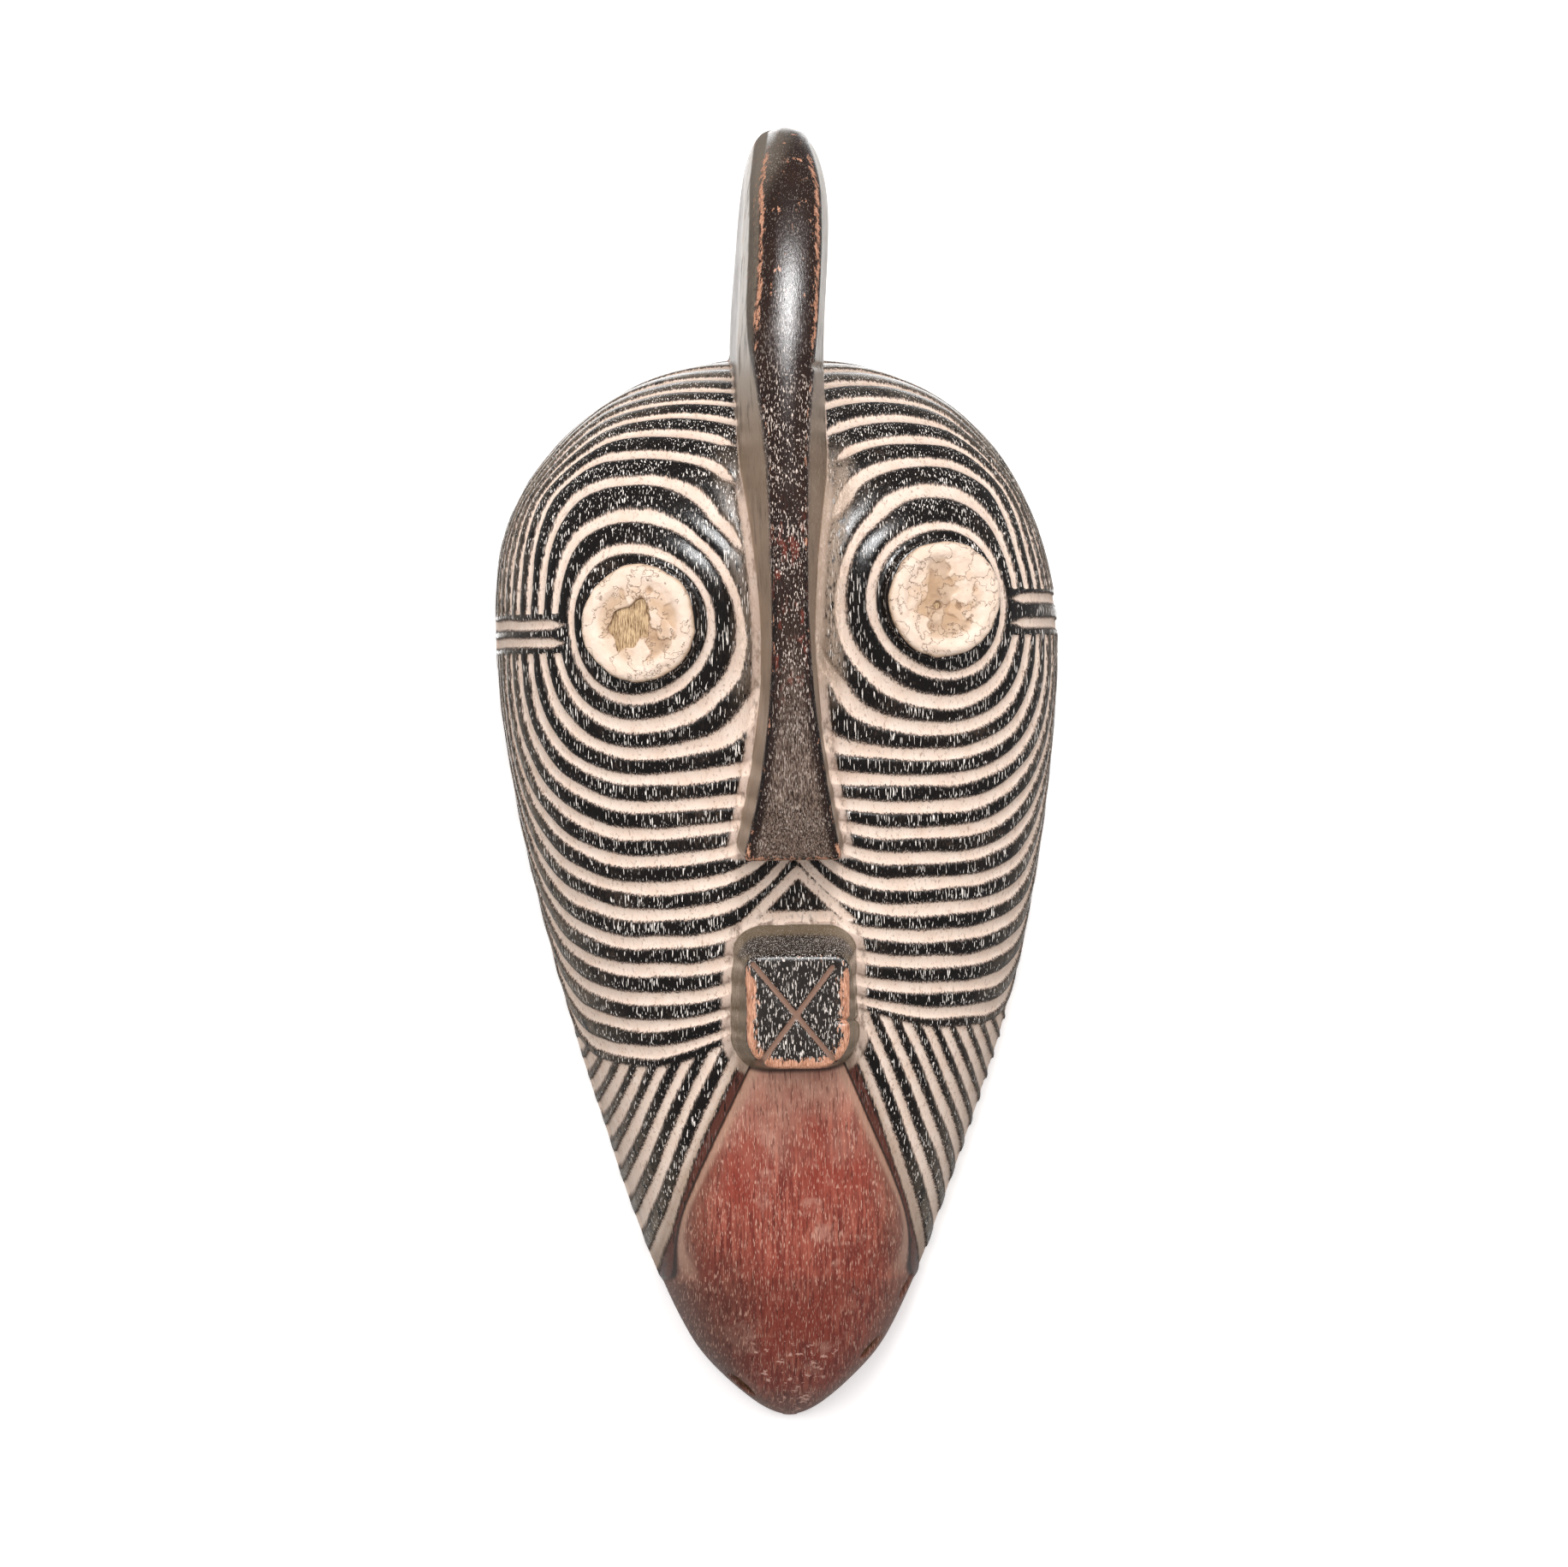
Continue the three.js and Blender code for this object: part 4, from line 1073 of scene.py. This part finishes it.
def clay_material():
    p = Paint("dried_clay")
    lumps = p.noise(5, 4)
    fine = p.noise(0.9, 4, 0.7)
    clay = p.blend(lumps, "#e0c1a9", "#f6e3d3")
    clay = p.blend(p.both(p.ramp(p.fact("proud"), 2.0, 1.2), 0.45), clay, "#b8966f")
    rubbed = p.both(p.ramp(p.fact("around"), 16, 8), p.ramp(p.noise(7, 4), 0.38, 0.6), 0.7)
    clay = p.blend(rubbed, clay, "#c39c76")
    cracks = p.ramp(p.math("ABSOLUTE", p.math("SUBTRACT", p.noise(7, 4, 0.6), 0.5)), 0.012, 0.0)
    clay = p.blend(p.both(cracks, 0.7), clay, "#6b4c35")
    clay = p.blend(p.ramp(p.noise(1.3, 3, 0.6), 0.68, 0.76), clay, "#8a6850")
    clay = p.blend(p.both(p.ramp(p.fact("proud"), 1.3, 0.4), 0.75), clay, "#8d6b52")
    height = p.math("MULTIPLY_ADD", cracks, -0.5, fine)
    return p.finish(clay, 0.85, height, 0.35)


def steel_material():
    p = Paint("zinc_plate")
    streaks = p.noise((6, 0.5, 0.5), 3, 0.6)
    colour = p.blend(streaks, "#8b8a87", "#b4b2ad")
    colour = p.blend(p.ramp(p.noise(2.5, 4, 0.7), 0.62, 0.72), colour, "#6f5a48")
    return p.finish(colour, p.ramp(streaks, 0.2, 0.8, 0.3, 0.5), streaks, 0.03, Metallic=1.0)


# Stage -------------------------------------------------------

def make_wall():
    """A white wall behind the rim, unseen from behind. It changes no light on the wood."""
    size = 4.0
    back = RIM_CENTRE[1] + 0.0005
    mesh = bpy.data.meshes.new("wall")
    corners = [(-size, back, -size), (size, back, -size), (size, back, size), (-size, back, size)]
    mesh.from_pydata(corners, [], [(0, 1, 2, 3)])
    wall = bpy.data.objects.new("wall", mesh)
    bpy.context.scene.collection.objects.link(wall)
    p = Paint("white_wall")
    nodes, links = p.tree.nodes, p.tree.links
    white = p.blend(p.noise(40, 3), "#f4f2f1", "#fcfbfb")
    p.finish(white, 0.85, p.noise(6, 3), 0.1, Emission_Color=white, Emission_Strength=0.4)
    clear = nodes.new("ShaderNodeBsdfTransparent")
    geometry = nodes.new("ShaderNodeNewGeometry")
    switch = nodes.new("ShaderNodeMixShader")
    links.new(geometry.outputs["Backfacing"], switch.inputs["Fac"])
    links.new(p.shader.outputs["BSDF"], switch.inputs[1])
    links.new(clear.outputs["BSDF"], switch.inputs[2])
    links.new(switch.outputs["Shader"], nodes["Material Output"].inputs["Surface"])
    mesh.materials.append(p.material)
    wall.visible_diffuse = wall.visible_glossy = wall.visible_shadow = False
    return wall


# Name, azimuth, elevation, distance, size, power, and the kind of shading that the light is for
LIGHTS = (
    ("key", 6, 37, 1.7, (0.4, 0.6), 15, "both"),
    ("gleam", 6, 37, 1.7, (0.25, 0.35), 27, "glossy"),
    ("front", -8, 12, 2.4, (1.2, 1.2), 24, "diffuse"),
    ("left_fill", -62, 8, 1.8, (0.8, 1.6), 13, "diffuse"),
    ("right_fill", 62, 8, 1.8, (0.8, 1.6), 12, "diffuse"),
    ("behind", 180, 15, 1.8, (1.2, 1.2), 10, "both"),
)


def make_light(name, azimuth, elevation, distance, size, power, shading):
    light = bpy.data.lights.new(name, "AREA")
    light.shape = "RECTANGLE"
    light.size, light.size_y = size
    light.energy = power
    lamp = bpy.data.objects.new(name, light)
    a, e = math.radians(azimuth), math.radians(elevation)
    away = Vector((math.sin(a) * math.cos(e), -math.cos(a) * math.cos(e), math.sin(e)))
    lamp.location = Vector(in_frame((0, -50, 230))) + away * distance
    lamp.rotation_mode = "QUATERNION"
    lamp.rotation_quaternion = away.to_track_quat("Z", "Y")
    lamp.visible_glossy = shading != "diffuse"
    lamp.visible_diffuse = shading != "glossy"
    bpy.context.scene.collection.objects.link(lamp)
    return lamp


def make_world():
    world = bpy.data.worlds.new("studio")
    world.use_nodes = True
    background = world.node_tree.nodes["Background"]
    background.inputs["Color"].default_value = (1, 1, 1, 1)
    background.inputs["Strength"].default_value = 0.3
    bpy.context.scene.world = world


def make_camera():
    distance, view_height, azimuth, roll = 8.0, 0.5496, -2.5, -1.0
    camera = bpy.data.cameras.new("camera")
    camera.sensor_width = 36
    camera.lens = camera.sensor_width * distance / view_height
    camera.clip_end = 50
    holder = bpy.data.objects.new("camera", camera)
    a = math.radians(azimuth)
    back = Vector((math.sin(a), -math.cos(a), 0))
    holder.location = Vector(in_frame((1.8, 0, 221))) + back * distance
    holder.rotation_mode = "QUATERNION"
    facing = back.to_track_quat("Z", "Y")
    holder.rotation_quaternion = facing @ Quaternion((0, 0, 1), math.radians(roll))
    bpy.context.scene.collection.objects.link(holder)
    bpy.context.scene.camera = holder


make_camera()
make_world()
stage = [make_wall(), *(make_light(*light) for light in LIGHTS)]
bpy.context.scene.view_settings.view_transform = "Standard"

wood, clay, steel = wood_material(), clay_material(), steel_material()
make_carving().data.materials.append(wood)
for eye in EYES:
    make_crust(eye).data.materials.append(clay)
for node in ("hanger_strap", "hanger_ring", "hanger_screw_1", "hanger_screw_2"):
    for place in bpy.data.objects[node].material_slots:
        place.material = steel
